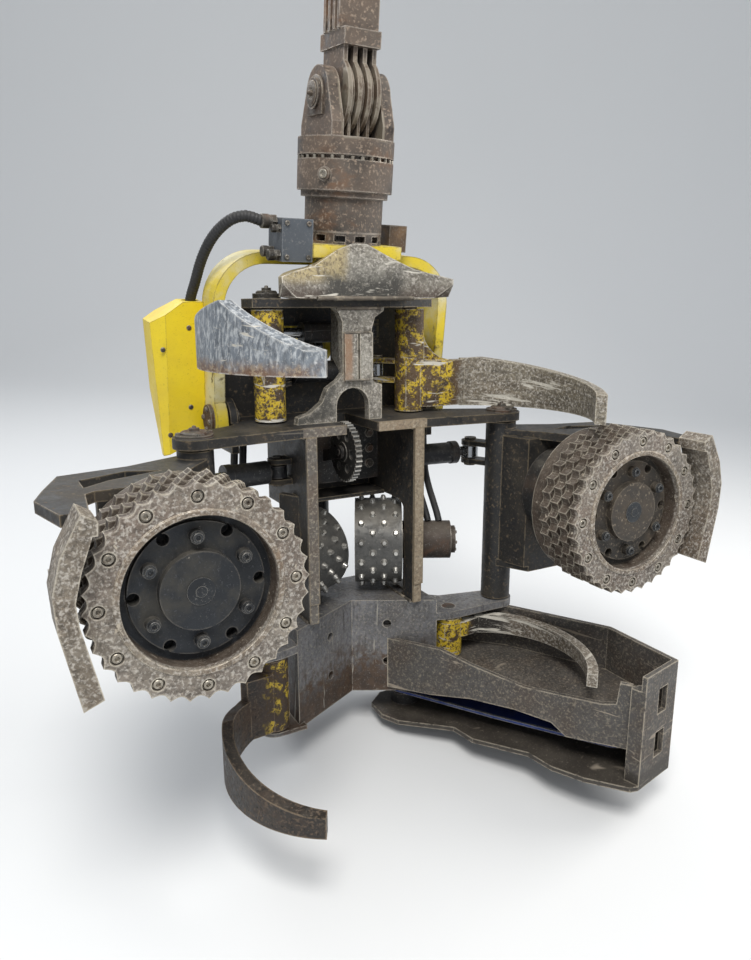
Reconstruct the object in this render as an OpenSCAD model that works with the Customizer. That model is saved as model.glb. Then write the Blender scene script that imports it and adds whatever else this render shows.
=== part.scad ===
/* [Link and rotator] */
// Distance from the crane pin down to the lower pin of the link
link_drop = 280; // [270:1:290]
// Diameter of the two link pins
link_pin_d = 50; // [44:1:56]
// Diameter of the round brake plates of the link
brake_d = 200; // [180:1:206]
// Thickness of one brake plate
brake_t = 12; // [10:1:13]
// Half width of the ears that hold the lower pin, at their foot
ear_half = 100; // [90:1:105]
// Radius of the rounded top of those ears
ear_r = 70; // [64:1:76]
// Thickness of the clamped flange under the ears
base_t = 45; // [35:1:50]
// Diameter of the collar that holds the oil ports
collar_d = 267; // [255:1:280]
// Height of that collar
collar_h = 79; // [70:1:90]
// Diameter of the rotator housing
rotator_d = 220; // [205:1:235]
// Height of the rotator housing
rotator_h = 90; // [80:1:110]
// Height of the turning flange with its windows
rotor_h = 32; // [28:1:40]

/* [Tilt frame] */
// Thickness of the plate bolted under the rotator
tilt_plate_t = 35; // [30:1:40]
// Height from the tilt pins up to that plate
arch_h = 468; // [455:1:490]
// Distance of the tilt pins behind the rotator axis
tilt_back = 40; // [30:1:50]
// Inside width between the two legs
leg_gap = 700; // [694:1:710]
// Thickness of one leg, side to side
leg_t = 32; // [28:1:40]
// Width of one leg, front to back
leg_w = 105; // [98:1:110]
// Diameter of the tilt pins
tilt_pin_d = 60; // [50:1:66]
// Lean of the hanging head behind the upright rotator, in degrees
head_lean = 7; // [5:0.5:9]

/* [Frame of the head] */
// Distance of the tilt pins behind the faces of the feed rollers
tilt_y = 700; // [690:1:710]
// Height of the tilt pins above the feed roller axes
tilt_z = 250; // [244:1:260]
// Half width of the frame to the outside of its side plates
frame_half = 190; // [186:1:194]
// Thickness of the side plates
side_t = 28; // [20:1:32]
// Front edge of the frame behind the feed roller faces
frame_front = 453; // [448:1:460]
// Back face of the frame
frame_back = 760; // [752:1:764]
// Top face of the plate above the feed rollers
deck_z = 242; // [238:1:244]
// Thickness of that plate and of the roof plate
deck_t = 27; // [20:1:30]
// Top face of the roof plate over the upper knives
roof_z = 590; // [586:1:600]
// Thickness of the roof plate
roof_t = 25; // [20:1:28]
// Top of the lower housing
belly_top = -340; // [-344:1:-330]
// Bottom of the lower housing
belly_bottom = -654; // [-658:1:-650]
// Half width of the lower housing
belly_half = 240; // [232:1:244]
// Slope of the two stem bed faces, in degrees
bed_slope = 28; // [25:1:30]
// Distance of the deepest line of the stem bed behind the roller faces
bed_y = 564; // [558:1:570]

/* [Knives] */
// Half distance between the two upper knife hinges
upper_x = 233; // [228:1:238]
// Distance of the upper knife hinges behind the roller faces
upper_y = 608; // [602:1:612]
// Inside radius of an upper blade
upper_r = 315; // [305:1:325]
// Half distance between the two lower knife hinges
lower_x = 306; // [302:1:310]
// Distance of the lower knife hinges behind the roller faces
lower_y = 469; // [465:1:473]
// Inside radius of a lower blade
lower_r = 268; // [260:1:272]
// Thickness of a blade
blade_t = 30; // [22:1:34]
// Diameter of the knife hinge tubes
hinge_d = 90; // [80:1:94]
// Diameter of the knife hinge pins
hinge_pin_d = 45; // [36:1:50]
// How much further open the right upper knife hangs, in degrees
upper_right_open = 15; // [12:1:16]
// How much further open the right lower knife hangs, in degrees
lower_right_open = 11; // [8:1:12]

/* [Feed rollers and arms] */
// Half distance between the two feed roller axes
roller_x = 620; // [615:1:630]
// Diameter over the tips of the roller teeth
roller_d = 472; // [462:1:476]
// Depth of the scallops between the teeth
tooth_depth = 12; // [10:1:16]
// Teeth around a feed roller
tooth_count = 36; // [30:1:40]
// Width of a feed roller
roller_w = 195; // [185:1:198]
// Diameter of the opening in the roller face
rim_bore_d = 330; // [310:1:340]
// Half distance between the two arm hinges
arm_x = 495; // [490:1:500]
// Distance of the arm hinges behind the roller faces
arm_y = 470; // [466:1:474]
// Diameter of the arm hinge tubes
arm_tube_d = 95; // [86:1:100]
// Diameter of the arm hinge pins
arm_pin_d = 60; // [50:1:64]
// Length of the arm's cylinder lever
arm_lever = 110; // [104:1:116]
// Diameter of the inner drive rollers
inner_d = 300; // [290:1:306]
// Width of the inner drive rollers
inner_w = 150; // [140:1:152]
// Height of the inner roller axes
inner_z = -182; // [-184:1:-176]
// Diameter of the measuring wheel
wheel_d = 185; // [175:1:190]

/* [Saw] */
// Reach of the saw bar from its pivot to the tip of its chain
bar_reach = 740; // [700:5:750]
// Width of the saw bar with its chain
bar_w = 104; // [94:1:110]
// Thickness of the saw bar
bar_t = 12; // [8:1:14]
// Top face of the floor plate of the saw box
floor_z = -740; // [-746:1:-736]
// Thickness of the saw box plates
box_t = 15; // [12:1:18]

/* [Cylinders] */
// Outside diameter of the tilt cylinder
tilt_cyl_d = 90; // [80:1:96]
// Outside diameter of the arm cylinders
arm_cyl_d = 68; // [60:1:72]
// Outside diameter of the upper knife cylinders
knife_cyl_d = 60; // [54:1:64]
// Length of the upper knife levers
knife_lever = 110; // [104:1:114]

/* [Hidden] */
$fn = 64;

// gap kept between parts that move past each other, and the play of a pin in its bore
gap = 5;
play = 0.3;

// levels of the rotator, measured down from the crane pin
base_top = -(link_drop + brake_d / 2 + gap);
base_bottom = base_top - base_t;
collar_top = base_bottom - 10;
collar_bottom = collar_top - collar_h;
housing_bottom = collar_bottom - 16 - rotator_h;
rotor_top = housing_bottom - play;
plate_top = rotor_top - rotor_h;
plate_bottom = plate_top - tilt_plate_t;
tilt_pin_z = plate_bottom - arch_h;

// the pack of brake plates: 4 plates of the link with 3 plates of the ears between them
plate_pitch = 28;
pack_half = 1.5 * plate_pitch + brake_t / 2;
lamella_t = plate_pitch - brake_t - 8;
ear_in = pack_half + 10;
ear_t = 35;
ear_foot_z = 70;

// leg and pivot ears of the tilt joint
leg_in = leg_gap / 2;
leg_out = leg_in + leg_t;
leg_front = -35;
leg_rear = leg_front + leg_w;
arch_bend = 118;
arch_top = plate_bottom + 5;
plate_half = 137;
pivot_r = 65;
pivot_ear_t = 22;
pivot_ear_out = leg_in - gap - 3;

// lever of the tilt cylinder, measured from the tilt pins
tilt_lever = [150, 170];
tilt_beam = [140, 255];
tilt_beam_d = 76;
tilt_foot = [830, -470];

// levels and lengths of the knives and arms
knife_low = deck_z + gap;
knife_high = roof_z - roof_t - gap;
bracket_z = -410;
bracket_t = 25;
arm_low = bracket_z + bracket_t + gap;
arm_high = deck_z - deck_t - gap;
arm_end = arm_x + 55;
side_in = frame_half - side_t;
back_half = 290;

// saw bar: pivot, resting angle and height
saw_x = 205;
saw_y = 575;
saw_rest = -56.6;
bar_z = -690;
chain_edge = 6;

// the inner rollers stand square to the two faces of the stem bed
inner_x = 141;
inner_y = 645;
motor_d = 124;
inner_shaft_d = 56;
motor_bar_t = 20;
motor_bar = inner_w / 2 + 7;

// upper knife cylinders: height and foot, per side; arm cylinders: height and foot
knife_cyl_z = [490, 370];
knife_foot = [150, 705];
arm_cyl_z = 100;
arm_foot = [225, 590];

function polar(r, a) = [r * cos(a), r * sin(a)];
function arc(c, r, a0, a1, n) = [for (i = [0:n]) c + polar(r, a0 + (a1 - a0) * i / n)];
function side_of(s) = s > 0 ? 1 : 0;
function length(v) = norm(v);
function heading(v) = atan2(v[1], v[0]);

// everything below the rotator is drawn upright, with its origin midway between the feed
// roller axes and level with their faces, and then hung from the tilt pins with its lean
module in_head() {
    translate([0, tilt_back, tilt_pin_z])
        rotate([-head_lean, 0, 0])
            translate([0, -tilt_y, -tilt_z])
                children();
}

// s is 1 for the right side and -1 for the left
module on_side(s) {
    mirror([s < 0 ? 1 : 0, 0, 0]) children();
}

module slab(z0, z1) {
    translate([0, 0, z0]) linear_extrude(z1 - z0) children();
}

// a plate across the X axis, its outline drawn as Y and Z
module slab_x(x0, x1) {
    translate([x0, 0, 0]) rotate([90, 0, 90]) linear_extrude(x1 - x0) children();
}

// a plate across the Y axis, its outline drawn as X and Z
module slab_y(y0, y1) {
    translate([0, y1, 0]) rotate([90, 0, 0]) linear_extrude(y1 - y0) children();
}

module rod_x(x0, x1, d) {
    translate([x0, 0, 0]) rotate([0, 90, 0]) cylinder(h = x1 - x0, d = d);
}

module rod_y(y0, y1, d) {
    translate([0, y1, 0]) rotate([90, 0, 0]) cylinder(h = y1 - y0, d = d);
}

module rod_z(z0, z1, d) {
    translate([0, 0, z0]) cylinder(h = z1 - z0, d = d);
}

// one brake plate: a round eye that runs up or down into its block
module brake_outline(r, reach, half) {
    circle(r);
    translate([-half, 0]) square([2 * half, reach]);
}

module hanger_link() {
    block_low = -link_drop + brake_d / 2 + 14;
    block_high = block_low + 40;
    upper_r = 72;
    color("#4a4038") difference() {
        union() {
            translate([-ear_in + gap, -75, block_low])
                cube([2 * (ear_in - gap), 150, block_high - block_low]);
            for (i = [-1.5:1.5])
                slab_x(i * plate_pitch - brake_t / 2, i * plate_pitch + brake_t / 2)
                    translate([0, -link_drop])
                        brake_outline(brake_d / 2, link_drop + block_low + 1, 62);
            for (i = [-1.5:1.5])
                slab_y(i * plate_pitch - brake_t / 2, i * plate_pitch + brake_t / 2)
                    mirror([0, 1]) brake_outline(upper_r, -block_high + 1, 58);
        }
        rod_y(-100, 100, link_pin_d + 2 * play);
        translate([0, 0, -link_drop]) rod_x(-100, 100, link_pin_d + 2 * play);
    }
}

// ear with a round top round the pin, which widens to its foot
module ear_outline(foot) {
    circle(ear_r);
    polygon([[ear_r - 1, 12], [ear_half, -ear_foot_z], [ear_half, -foot], [-ear_half, -foot],
        [-ear_half, -ear_foot_z], [-ear_r + 1, 12]]);
}

module rotator_bracket() {
    foot = -link_drop - base_top;
    color("#45392f") difference() {
        union() {
            rod_z(base_bottom, base_top, collar_d);
            for (s = [-1, 1]) on_side(s)
                slab_x(ear_in, ear_in + ear_t) translate([0, -link_drop])
                    ear_outline(foot + 1);
            for (i = [-1:1])
                slab_x(i * plate_pitch - lamella_t / 2, i * plate_pitch + lamella_t / 2)
                    translate([0, -link_drop]) mirror([0, 1])
                        brake_outline(brake_d / 2 - 12, foot + 1, 70);
        }
        translate([0, 0, -link_drop]) rod_x(-160, 160, link_pin_d + 2 * play);
    }
    // the pin with its round head and the flat keeper on the left ear
    color("#3a3632") translate([0, 0, -link_drop]) {
        rod_x(-ear_in - ear_t - 12, ear_in + ear_t + 12, link_pin_d);
        for (s = [-1, 1]) on_side(s) rod_x(ear_in + ear_t, ear_in + ear_t + 14, link_pin_d + 26);
    }
}

module rotator_housing() {
    color("#3f342b") {
        rod_z(collar_top, base_bottom, collar_d - 20);
        rod_z(collar_bottom, collar_top, collar_d);
        rod_z(collar_bottom - 16, collar_bottom, rotator_d + 25);
        rod_z(housing_bottom, collar_bottom - 16, rotator_d);
        // the plug of an oil port in the collar
        translate([0, 0, (collar_top + collar_bottom) / 2]) rotate(-50)
            rod_y(-collar_d / 2 - 8, 0, 34);
    }
}

module rotor_flange() {
    window_w = 30;
    color("#40352c") difference() {
        rod_z(plate_top, rotor_top, rotator_d);
        for (a = [0:30:330]) rotate(a)
            translate([rotator_d / 2 - 30, -window_w / 2, plate_top + 8])
                cube([40, window_w, rotor_h - 16]);
    }
}

// the arch over the head: a flat bar that bends down into two straight legs, as X and Z
module arch_outline() {
    centre = [leg_in - arch_bend, arch_top - leg_t - arch_bend];
    for (s = [-1, 1]) scale([s, 1])
        polygon(concat(
            [[leg_in, tilt_pin_z], [leg_in, centre[1]]],
            arc(centre, arch_bend, 0, 90, 12),
            [[0, arch_top - leg_t], [0, arch_top]],
            arc(centre, arch_bend + leg_t, 90, 0, 12),
            [[leg_out, tilt_pin_z]]));
}

// side plate of a leg that reaches back to the beam of the tilt cylinder, as Y and Z
module lever_outline() {
    polygon([[leg_front + 8, 60], [leg_rear - 20, -20], [tilt_beam[0] + 44, tilt_beam[1] - 40],
        [tilt_beam[0] + 40, tilt_beam[1] + 38], [leg_rear - 10, 310], [leg_front + 8, 310]]);
}

module tilt_frame() {
    color("#e0c020") {
        difference() {
            union() {
                slab_y(tilt_back + leg_front, tilt_back + leg_rear) arch_outline();
                translate([-plate_half, -105, plate_bottom])
                    cube([2 * plate_half, 105 + tilt_back, tilt_plate_t]);
                // ribs under the plate
                for (x = [-96, 72]) slab_x(x, x + 24)
                    polygon([[-62, plate_bottom + 2], [tilt_back + leg_front + 2, plate_bottom + 2],
                        [tilt_back + leg_front + 2, arch_top - leg_t], [tilt_back + leg_front - 8,
                        arch_top - leg_t]]);
                for (s = [-1, 1]) on_side(s) translate([0, tilt_back, tilt_pin_z]) {
                    rod_x(leg_in, leg_out, 2 * pivot_r);
                    slab_x(leg_in, leg_in + 22) lever_outline();
                }
            }
            translate([0, tilt_back, tilt_pin_z])
                rod_x(-leg_out - 1, leg_out + 1, tilt_pin_d + 2 * play);
        }
        translate([0, tilt_back, tilt_pin_z]) difference() {
            union() {
                translate([0, tilt_beam[0], tilt_beam[1]]) rod_x(-leg_in, leg_in, tilt_beam_d);
                for (x = [-50, 28]) slab_x(x, x + 22) lug(tilt_lever, tilt_beam, 38);
            }
            translate([0, tilt_lever[0], tilt_lever[1]]) rod_x(-60, 60, 45 + 2 * play);
        }
    }
}

// a lug with a round end at a that runs to b, both given in the plane of the plate
module lug(a, b, r) {
    d = b - a;
    translate(a) circle(r);
    translate(a) rotate(heading(d)) translate([0, -0.92 * r]) square([length(d), 1.84 * r]);
}

// sheet cover on the outside of each leg, closed in front and open behind; the left one is
// wide enough for the hose; t is the thickness that is taken off for its hollow
cover_w = [145, 66];
cover_front = 55;

module cover_plan(w, t) {
    x0 = leg_out + t;
    x1 = leg_out + w - t;
    f = cover_front + t;
    back = t > 0 ? 300 : cover_front + 120;
    polygon([[x0, f], [x1 - 37 + 0.4 * t, f], [x1, f + 35 - 0.6 * t], [x1, min(back, cover_front + 95)],
        [x1, back], [x0, back]]);
}

module cover_face(w, t) {
    x0 = leg_out + t;
    x1 = leg_out + w - t;
    polygon([[x0, 327 - t], [x1 - 0.6 * w, 327 - t], [x1, 327 - 0.42 * w - t], [x1 - 22, -122 + 1.4 * t],
        [x1 - 22 - 0.45 * w, -92 + 1.4 * t], [x0, -42 + t]]);
}

module tilt_cover(s) {
    w = s < 0 ? cover_w[0] : cover_w[1];
    color("#ecd02a") on_side(s) translate([0, tilt_back, tilt_pin_z]) difference() {
        intersection() {
            slab_y(0, 200) cover_face(w, 0);
            slab(-200, 400) cover_plan(w, 0);
            slab_x(leg_out - 10, leg_out + w + 10)
                polygon([[0, -140], [cover_front + 25, -140], [cover_front + 120, 60],
                    [cover_front + 120, 290], [cover_front + 60, 340], [0, 340]]);
        }
        intersection() {
            slab_y(0, 320) cover_face(w, 10);
            slab(-200, 400) cover_plan(w, 10);
        }
        if (s < 0) translate([hose_in[0], hose_in[1] - tilt_back, 300]) rod_z(0, 60, hose_d + 16);
    }
}

// oil port block on the left of the plate under the rotator and a valve cover on its right
module port_block() {
    color("#3c4046") translate([-plate_half - 88, -100, plate_bottom - 13]) cube([88, 100, 110]);
}

module valve_cover() {
    color("#4a3a2c") translate([plate_half, -30, plate_top - 18]) cube([58, 80, 75]);
}

// the hose from the port block over the left arm and down into the cover
hose_d = 30;
hose_in = [410, 138];
hose_route = [
    [-226.2, -50, -606], [-262, -50, -606], [-305, -42, -596], [-342, -18, -610], [-374, 20, -652],
    [-394, 60, -712], [-404, 100, -782], [-410, 130, -832], [-410, 138, -880], [-410, 140, -940]];

function subdivided(p, n) = [for (i = [0:len(p) - 2]) for (j = [0:n - 1])
    let (a = p[max(i - 1, 0)], b = p[i], c = p[i + 1], d = p[min(i + 2, len(p) - 1)], t = j / n)
    0.5 * ((2 * b) + (c - a) * t + (2 * a - 5 * b + 4 * c - d) * t * t
        + (3 * b - a - 3 * c + d) * t * t * t)];

function unit(v) = v / length(v);

module tube(points, d, sides) {
    n = len(points);
    up = [0, 1, 0];
    rings = [for (i = [0:n - 1])
        let (t = unit(points[min(i + 1, n - 1)] - points[max(i - 1, 0)]),
            u = unit(cross(up, t)), v = cross(t, u))
        for (k = [0:sides - 1])
            points[i] + d / 2 * (cos(360 * k / sides) * u + sin(360 * k / sides) * v)];
    walls = [for (i = [0:n - 2]) for (k = [0:sides - 1])
        [i * sides + k, i * sides + (k + 1) % sides,
            (i + 1) * sides + (k + 1) % sides, (i + 1) * sides + k]];
    ends = [[for (k = [sides - 1:-1:0]) k], [for (k = [0:sides - 1]) (n - 1) * sides + k]];
    polyhedron(rings, concat(walls, ends), convexity = 4);
}

module tilt_hose() {
    color("#1c1c1e")
        tube(concat(subdivided(hose_route, 3), [hose_route[len(hose_route) - 1]]), hose_d, 8);
}

// pins of the tilt joint, with round heads outside the legs, and of the tilt cylinder
module tilt_pins() {
    color("#37393b") translate([0, tilt_back, tilt_pin_z]) {
        for (s = [-1, 1]) on_side(s) {
            rod_x(pivot_ear_out - pivot_ear_t - 14, leg_out, tilt_pin_d);
            rod_x(leg_out, leg_out + 12, tilt_pin_d + 26);
        }
        // the rod's eye swings free between the two stubs
        for (s = [-1, 1]) on_side(s)
            translate([0, tilt_lever[0], tilt_lever[1]]) rod_x(28, 58, 45);
    }
}

// outline of the deck plate, seen from above: arm ears, pivot ears and the notch of the wheel
module deck_outline() {
    edge = pivot_ear_out;
    difference() {
        union() {
            for (s = [-1, 1]) scale([s, 1]) {
                polygon([[0, frame_front], [frame_half + 20, frame_front - 6],
                    [arm_x - 20, arm_y - 54], [arm_x + 20, arm_y + 54], [edge, arm_y + 140],
                    [edge, frame_back], [0, frame_back]]);
                translate([arm_x, arm_y]) circle(57);
            }
        }
        translate([-66, frame_front - 20]) square([105, 240]);
        for (s = [-1, 1]) scale([s, 1]) {
            translate([arm_x, arm_y]) circle(d = arm_pin_d + 2 * play);
            translate([upper_x, upper_y]) circle(d = hinge_pin_d + 2 * play);
        }
    }
}

module frame_shell() {
    color("#4b4e50") {
        difference() {
            union() {
                slab(deck_z - deck_t, deck_z) deck_outline();
                for (s = [-1, 1]) on_side(s)
                    slab_x(pivot_ear_out - pivot_ear_t, pivot_ear_out) {
                        translate([tilt_y, tilt_z]) circle(58);
                        translate([tilt_y - 58, deck_z - 90])
                            square([112, 90 + tilt_z - deck_z]);
                        translate([tilt_y, tilt_z - 20]) square([50, 62]);
                    }
            }
            for (s = [-1, 1]) on_side(s)
                translate([0, tilt_y, tilt_z]) rod_x(296, leg_in, tilt_pin_d + 2 * play);
        }
        slab_y(frame_back - 15, frame_back) back_outline();
        // shelf over the inner rollers
        slab(inner_z + inner_d / 2 + 7, inner_z + inner_d / 2 + 19)
            translate([-side_in, 640]) square([2 * side_in, frame_back - 14 - 640]);
        for (s = [-1, 1]) knife_foot_lugs(s);
    }
}

// the back plate between the deck and the roof, with the towers behind the pivots, as X and Z
module back_outline() {
    difference() {
        union() {
            translate([-back_half, deck_z - 1])
                square([2 * back_half, roof_z - roof_t - deck_z + 1]);
            translate([-pivot_ear_out, deck_z - 1]) square([2 * pivot_ear_out, 210]);
            translate([-side_in, inner_z + inner_d / 2 + 7])
                square([2 * side_in, deck_z - inner_z - inner_d / 2 - 7]);
        }
        for (x = [-110, 0, 110]) translate([x - 32, 400]) square([64, 110]);
    }
}

// two plates on the back plate that hold the foot of a knife cylinder
module knife_foot_lugs(s) {
    z = knife_cyl_z[side_of(s)];
    for (z0 = [z - 36, z + 22]) slab(z0, z0 + 14) difference() {
        translate([-s * knife_foot[0], knife_foot[1]]) {
            circle(24);
            translate([-24, 0]) square([48, frame_back - 14 - knife_foot[1]]);
        }
        translate([-s * knife_foot[0], knife_foot[1]]) circle(d = 25 + 2 * play);
    }
}

// one side plate as Y and Z, with its cut-out for the inner roller
module side_outline() {
    difference() {
        translate([frame_front, belly_top])
            square([frame_back - frame_front, deck_z - deck_t - belly_top]);
        translate([512, inner_z - 115]) square([300, 230]);
        translate([557, inner_z - 160]) square([300, 320]);
        for (z = [-115, 115]) translate([557, inner_z + z]) circle(45);
    }
}

module side_plate(s) {
    axis = [cos(bed_slope), -sin(bed_slope)];
    color("#55565a") on_side(s) {
        slab_x(side_in, frame_half) side_outline();
        // wear bar on the front edge
        translate([side_in - 2, frame_front - 6, inner_z - 96])
            cube([side_t + 4, 6, deck_z - deck_t - inner_z + 96]);
        difference() {
            // upright bar in the plane of the inner roller that holds its motor
            translate([inner_x, inner_y, inner_z]) rotate(-bed_slope)
                translate([motor_bar, -92, belly_top - inner_z])
                    cube([motor_bar_t, 78, inner_z - belly_top + 215]);
            translate([inner_x, inner_y, inner_z]) rotate(-bed_slope)
                rod_x(motor_bar - 1, motor_bar + motor_bar_t + 1, motor_d + 2 * play);
        }
        arm_foot_lugs();
    }
}

module arm_foot_lugs() {
    for (z0 = [arm_cyl_z - 38, arm_cyl_z + 22]) slab(z0, z0 + 16) difference() {
        union() {
            translate(arm_foot) circle(28);
            translate([frame_half, arm_foot[1] - 28]) square([arm_foot[0] - frame_half, 56]);
        }
        translate(arm_foot) circle(d = 30 + 2 * play);
    }
}

// plan of the lower housing with the two faces of the stem bed
module belly_outline() {
    wing_y = bed_y - belly_half * tan(bed_slope);
    polygon([[0, bed_y], [belly_half, wing_y], [belly_half, frame_back],
        [-belly_half, frame_back], [-belly_half, wing_y]]);
}

module lower_housing() {
    bolt_z = [-420, -549];
    color("#5a5b5d") {
        difference() {
            union() {
                slab(belly_bottom, belly_top) belly_outline();
                slab(bracket_z, bracket_z + bracket_t) bracket_outline();
                slab(belly_bottom, belly_bottom + 13) {
                    translate([-lower_x, lower_y]) circle(44);
                    translate([-lower_x, lower_y - 44]) square([lower_x - belly_half + 20, 100]);
                }
            }
            for (s = [-1, 1], z = bolt_z) on_side(s)
                translate([100, bed_y - 100 * tan(bed_slope), z]) rotate(-bed_slope)
                    rod_y(-5, 30, 26);
            for (s = [-1, 1]) on_side(s) {
                translate([lower_x, lower_y, 0])
                    rod_z(belly_bottom - 1, 0, hinge_pin_d + 2 * play);
                translate([arm_x, arm_y, 0])
                    rod_z(belly_bottom, 0, arm_pin_d + 2 * play);
            }
        }
        for (x = [-44, 22]) difference() {
            slab_x(x, x + 22)
                lug([tilt_foot[0], tilt_foot[1]], [frame_back, tilt_foot[1]], 42);
            translate([0, tilt_foot[0], tilt_foot[1]]) rod_x(-60, 60, 45 + 2 * play);
        }
    }
}

// plate that carries the lower ends of the arm pins
module bracket_outline() {
    for (s = [-1, 1]) scale([s, 1]) {
        polygon([[0, bed_y], [belly_half, bed_y - belly_half * tan(bed_slope)],
            [lower_x - 10, lower_y - 48], [arm_x - 10, arm_y - 50], [arm_x + 10, arm_y + 51],
            [lower_x + 20, 560], [belly_half, 640], [0, 640]]);
        translate([arm_x, arm_y]) circle(52);
    }
}

// the spine between the upper knives and the arch over the measuring wheel, as X and Z
module spine_outline() {
    top = roof_z - roof_t;
    polygon(concat(
        [[-70, top], [90, top], [88, top - 10], [60, top - 28], [50, top - 60], [50, 361]],
        [[60, 350], [83, 344], [83, deck_z], [39, deck_z]],
        arc([-13.5, 286], 52.5, 0, 180, 10),
        [[-66, deck_z], [-190, deck_z], [-186, 262], [-150, 272], [-112, 300], [-94, 340],
            [-60, 362], [-45, 380], [-45, top - 40], [-56, top - 14]]));
}

module spine() {
    color("#5b5c5c") {
        slab_y(514, 540) spine_outline();
        slab_x(-20, 20) polygon([[540, 345], [640, 420], [640, roof_z - roof_t],
            [540, roof_z - roof_t]]);
        // two wear strips with a groove between them
        for (x = [-43, 5]) translate([x, 502, 361]) cube([42, 12, 134]);
    }
}

module roof_plate() {
    color("#4b4d4f") slab(roof_z - roof_t, roof_z) difference() {
        union() {
            polygon([[-290, 570], [-110, 512], [110, 512], [290, 570], [290, 660],
                [frame_half, frame_back], [-frame_half, frame_back], [-290, 660]]);
        }
        for (s = [-1, 1])
            translate([s * upper_x, upper_y]) circle(d = hinge_pin_d + 2 * play);
    }
}

// fixed top knife: a ridge over the spine that runs down to two blunt tips, as X and Z
module top_knife() {
    base = roof_z;
    color("#8a8782") intersection() {
        slab_y(380, 620)
            polygon([[-263, base + 4], [-263, base + 53], [-225, base + 66], [-150, base + 84],
                [-70, base + 130], [-25, base + 146], [20, base + 146], [90, base + 112],
                [160, base + 80], [230, base + 62], [263, base + 53], [263, base + 4],
                [200, base], [-200, base]]);
        slab(base, base + 160)
            polygon(concat(
                arc([0, -40], 525, 60, 120, 14),
                arc([0, 304], 296, 152, 28, 14)));
        slab_x(-280, 280)
            polygon([[400, base + 60], [440, base], [600, base], [600, base + 20],
                [520, base + 88], [492, base + 92], [487, base + 150], [455, base + 150],
                [400, base + 90]]);
    }
}

// valve block inside the frame with the fork that carries the measuring wheel
wheel_at = [-10, 572, 140];
wheel_w = 20;

module valve_block() {
    color("#3d3f42") {
        translate([-side_in, 686, 20]) cube([2 * side_in, frame_back - 15 - 686, 185]);
        difference() {
            for (x = [-wheel_w / 2 - gap - 9, wheel_w / 2 + gap])
                translate([wheel_at[0], 0, 0])
                    slab_x(x, x + 9) lug([wheel_at[1], wheel_at[2]], [690, wheel_at[2] - 30], 20);
            translate(wheel_at) rod_x(-30, 30, 20 + 2 * play);
        }
        translate(wheel_at) rod_x(-wheel_w / 2 - gap - 12, wheel_w / 2 + gap + 12, 20);
    }
}

module measuring_wheel() {
    teeth = 36;
    r = wheel_d / 2;
    color("#6a6660") translate(wheel_at) difference() {
        union() {
            slab_x(-wheel_w / 2, wheel_w / 2)
                polygon([for (i = [0:teeth - 1], k = [0, 1])
                    polar(k == 0 ? r : r - 8, (i + k / 2) * 360 / teeth)]);
            rod_x(-wheel_w / 2 - 3, wheel_w / 2 + 3, 60);
        }
        rod_x(-30, 30, 20 + 2 * play);
        for (a = [0:60:300]) rotate([a, 0, 0]) translate([0, 55, 0]) rod_x(-20, 20, 26);
    }
}

// corners of the saw box seen from above: guide wall, end plate and back wall
wall_a = [100, 510];
wall_b = [528, -112];
end_a = [528, -160];
end_b = [690, -125];
back_a = [691, 133];
back_b = [522, 428];
back_c = [395, 560];
wall_slot_z = -640;
box_top = bracket_z;

// a straight wall of thickness t seen from above, on the left of the line from a to b
module wall(a, b, t) {
    n = [-(b - a)[1], (b - a)[0]] / length(b - a) * t;
    polygon([a, b, b + n, a + n]);
}

module floor_outline() {
    polygon([[113, 460], [248, 340], [262, 258], [365, 117], [379, 30], [423, -57], [502, -154],
        end_a, end_b, back_a, back_b, back_c, [260, 640], [150, 650], [90, 600], [85, 520]]);
}

module shelf_outline() {
    polygon([wall_a, wall_b, [540, -145], end_b, back_a, back_b, back_c, [200, 620]]);
}

// top edge of the guide wall along its length, drawn as distance from its left end and Z
module wall_profile() {
    len_w = length(wall_b - wall_a);
    polygon([[0, wall_slot_z], [0.2 * len_w, wall_slot_z + 8], [0.38 * len_w, wall_slot_z + 27],
        [0.56 * len_w, wall_slot_z + 27], [0.71 * len_w, wall_slot_z + 14],
        [0.77 * len_w, wall_slot_z - 20], [len_w, wall_slot_z - 12], [len_w, -455], [len_w - 34, -455],
        [len_w - 40, -520], [len_w - 80, -530], [0.6 * len_w, -533], [0.38 * len_w, -500],
        [0.24 * len_w, -470], [0, -470]]);
}

module saw_box() {
    along = wall_b - wall_a;
    color("#514f4c") difference() {
        union() {
            slab(floor_z - box_t, floor_z) floor_outline();
            translate([wall_a[0], wall_a[1], 0]) rotate(heading(along))
                slab_y(0, box_t) wall_profile();
            slab(-565, -550) shelf_outline();
            slab(floor_z, box_top) {
                wall(end_a, end_b, box_t);
                wall(end_b, back_a, box_t);
                wall(back_a, back_b, box_t);
                wall(back_b, back_c, box_t);
                wall(back_c, [belly_half - 1, 690], box_t);
            }
            // post at the open corner
            slab(floor_z, -455) polygon([end_a, [548, -156], [556, -120], wall_b, [516, -118]]);
        }
        slab(belly_bottom - 1, belly_top) belly_outline();
        translate([lower_x, lower_y, 0]) rod_z(-600, -500, hinge_pin_d + 2 * play);
        translate([saw_x, saw_y, 0]) rod_z(floor_z - 30, floor_z + 1, 60 + 2 * play);
        // windows of the end plate
        translate([end_a[0], end_a[1], 0]) rotate(heading(end_b - end_a))
            for (z = [-545, -680]) translate([70, -1, z]) cube([46, box_t + 2, 78]);
    }
}

// saw shaft between the lower housing and the floor plate
module saw_hub() {
    color("#47484a") translate([saw_x, saw_y, 0]) {
        rod_z(bar_z + bar_t / 2 + gap, belly_bottom, 130);
        rod_z(floor_z - box_t, belly_bottom, 60);
        rod_z(floor_z, bar_z - bar_t / 2 - gap, 96);
    }
}

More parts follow.
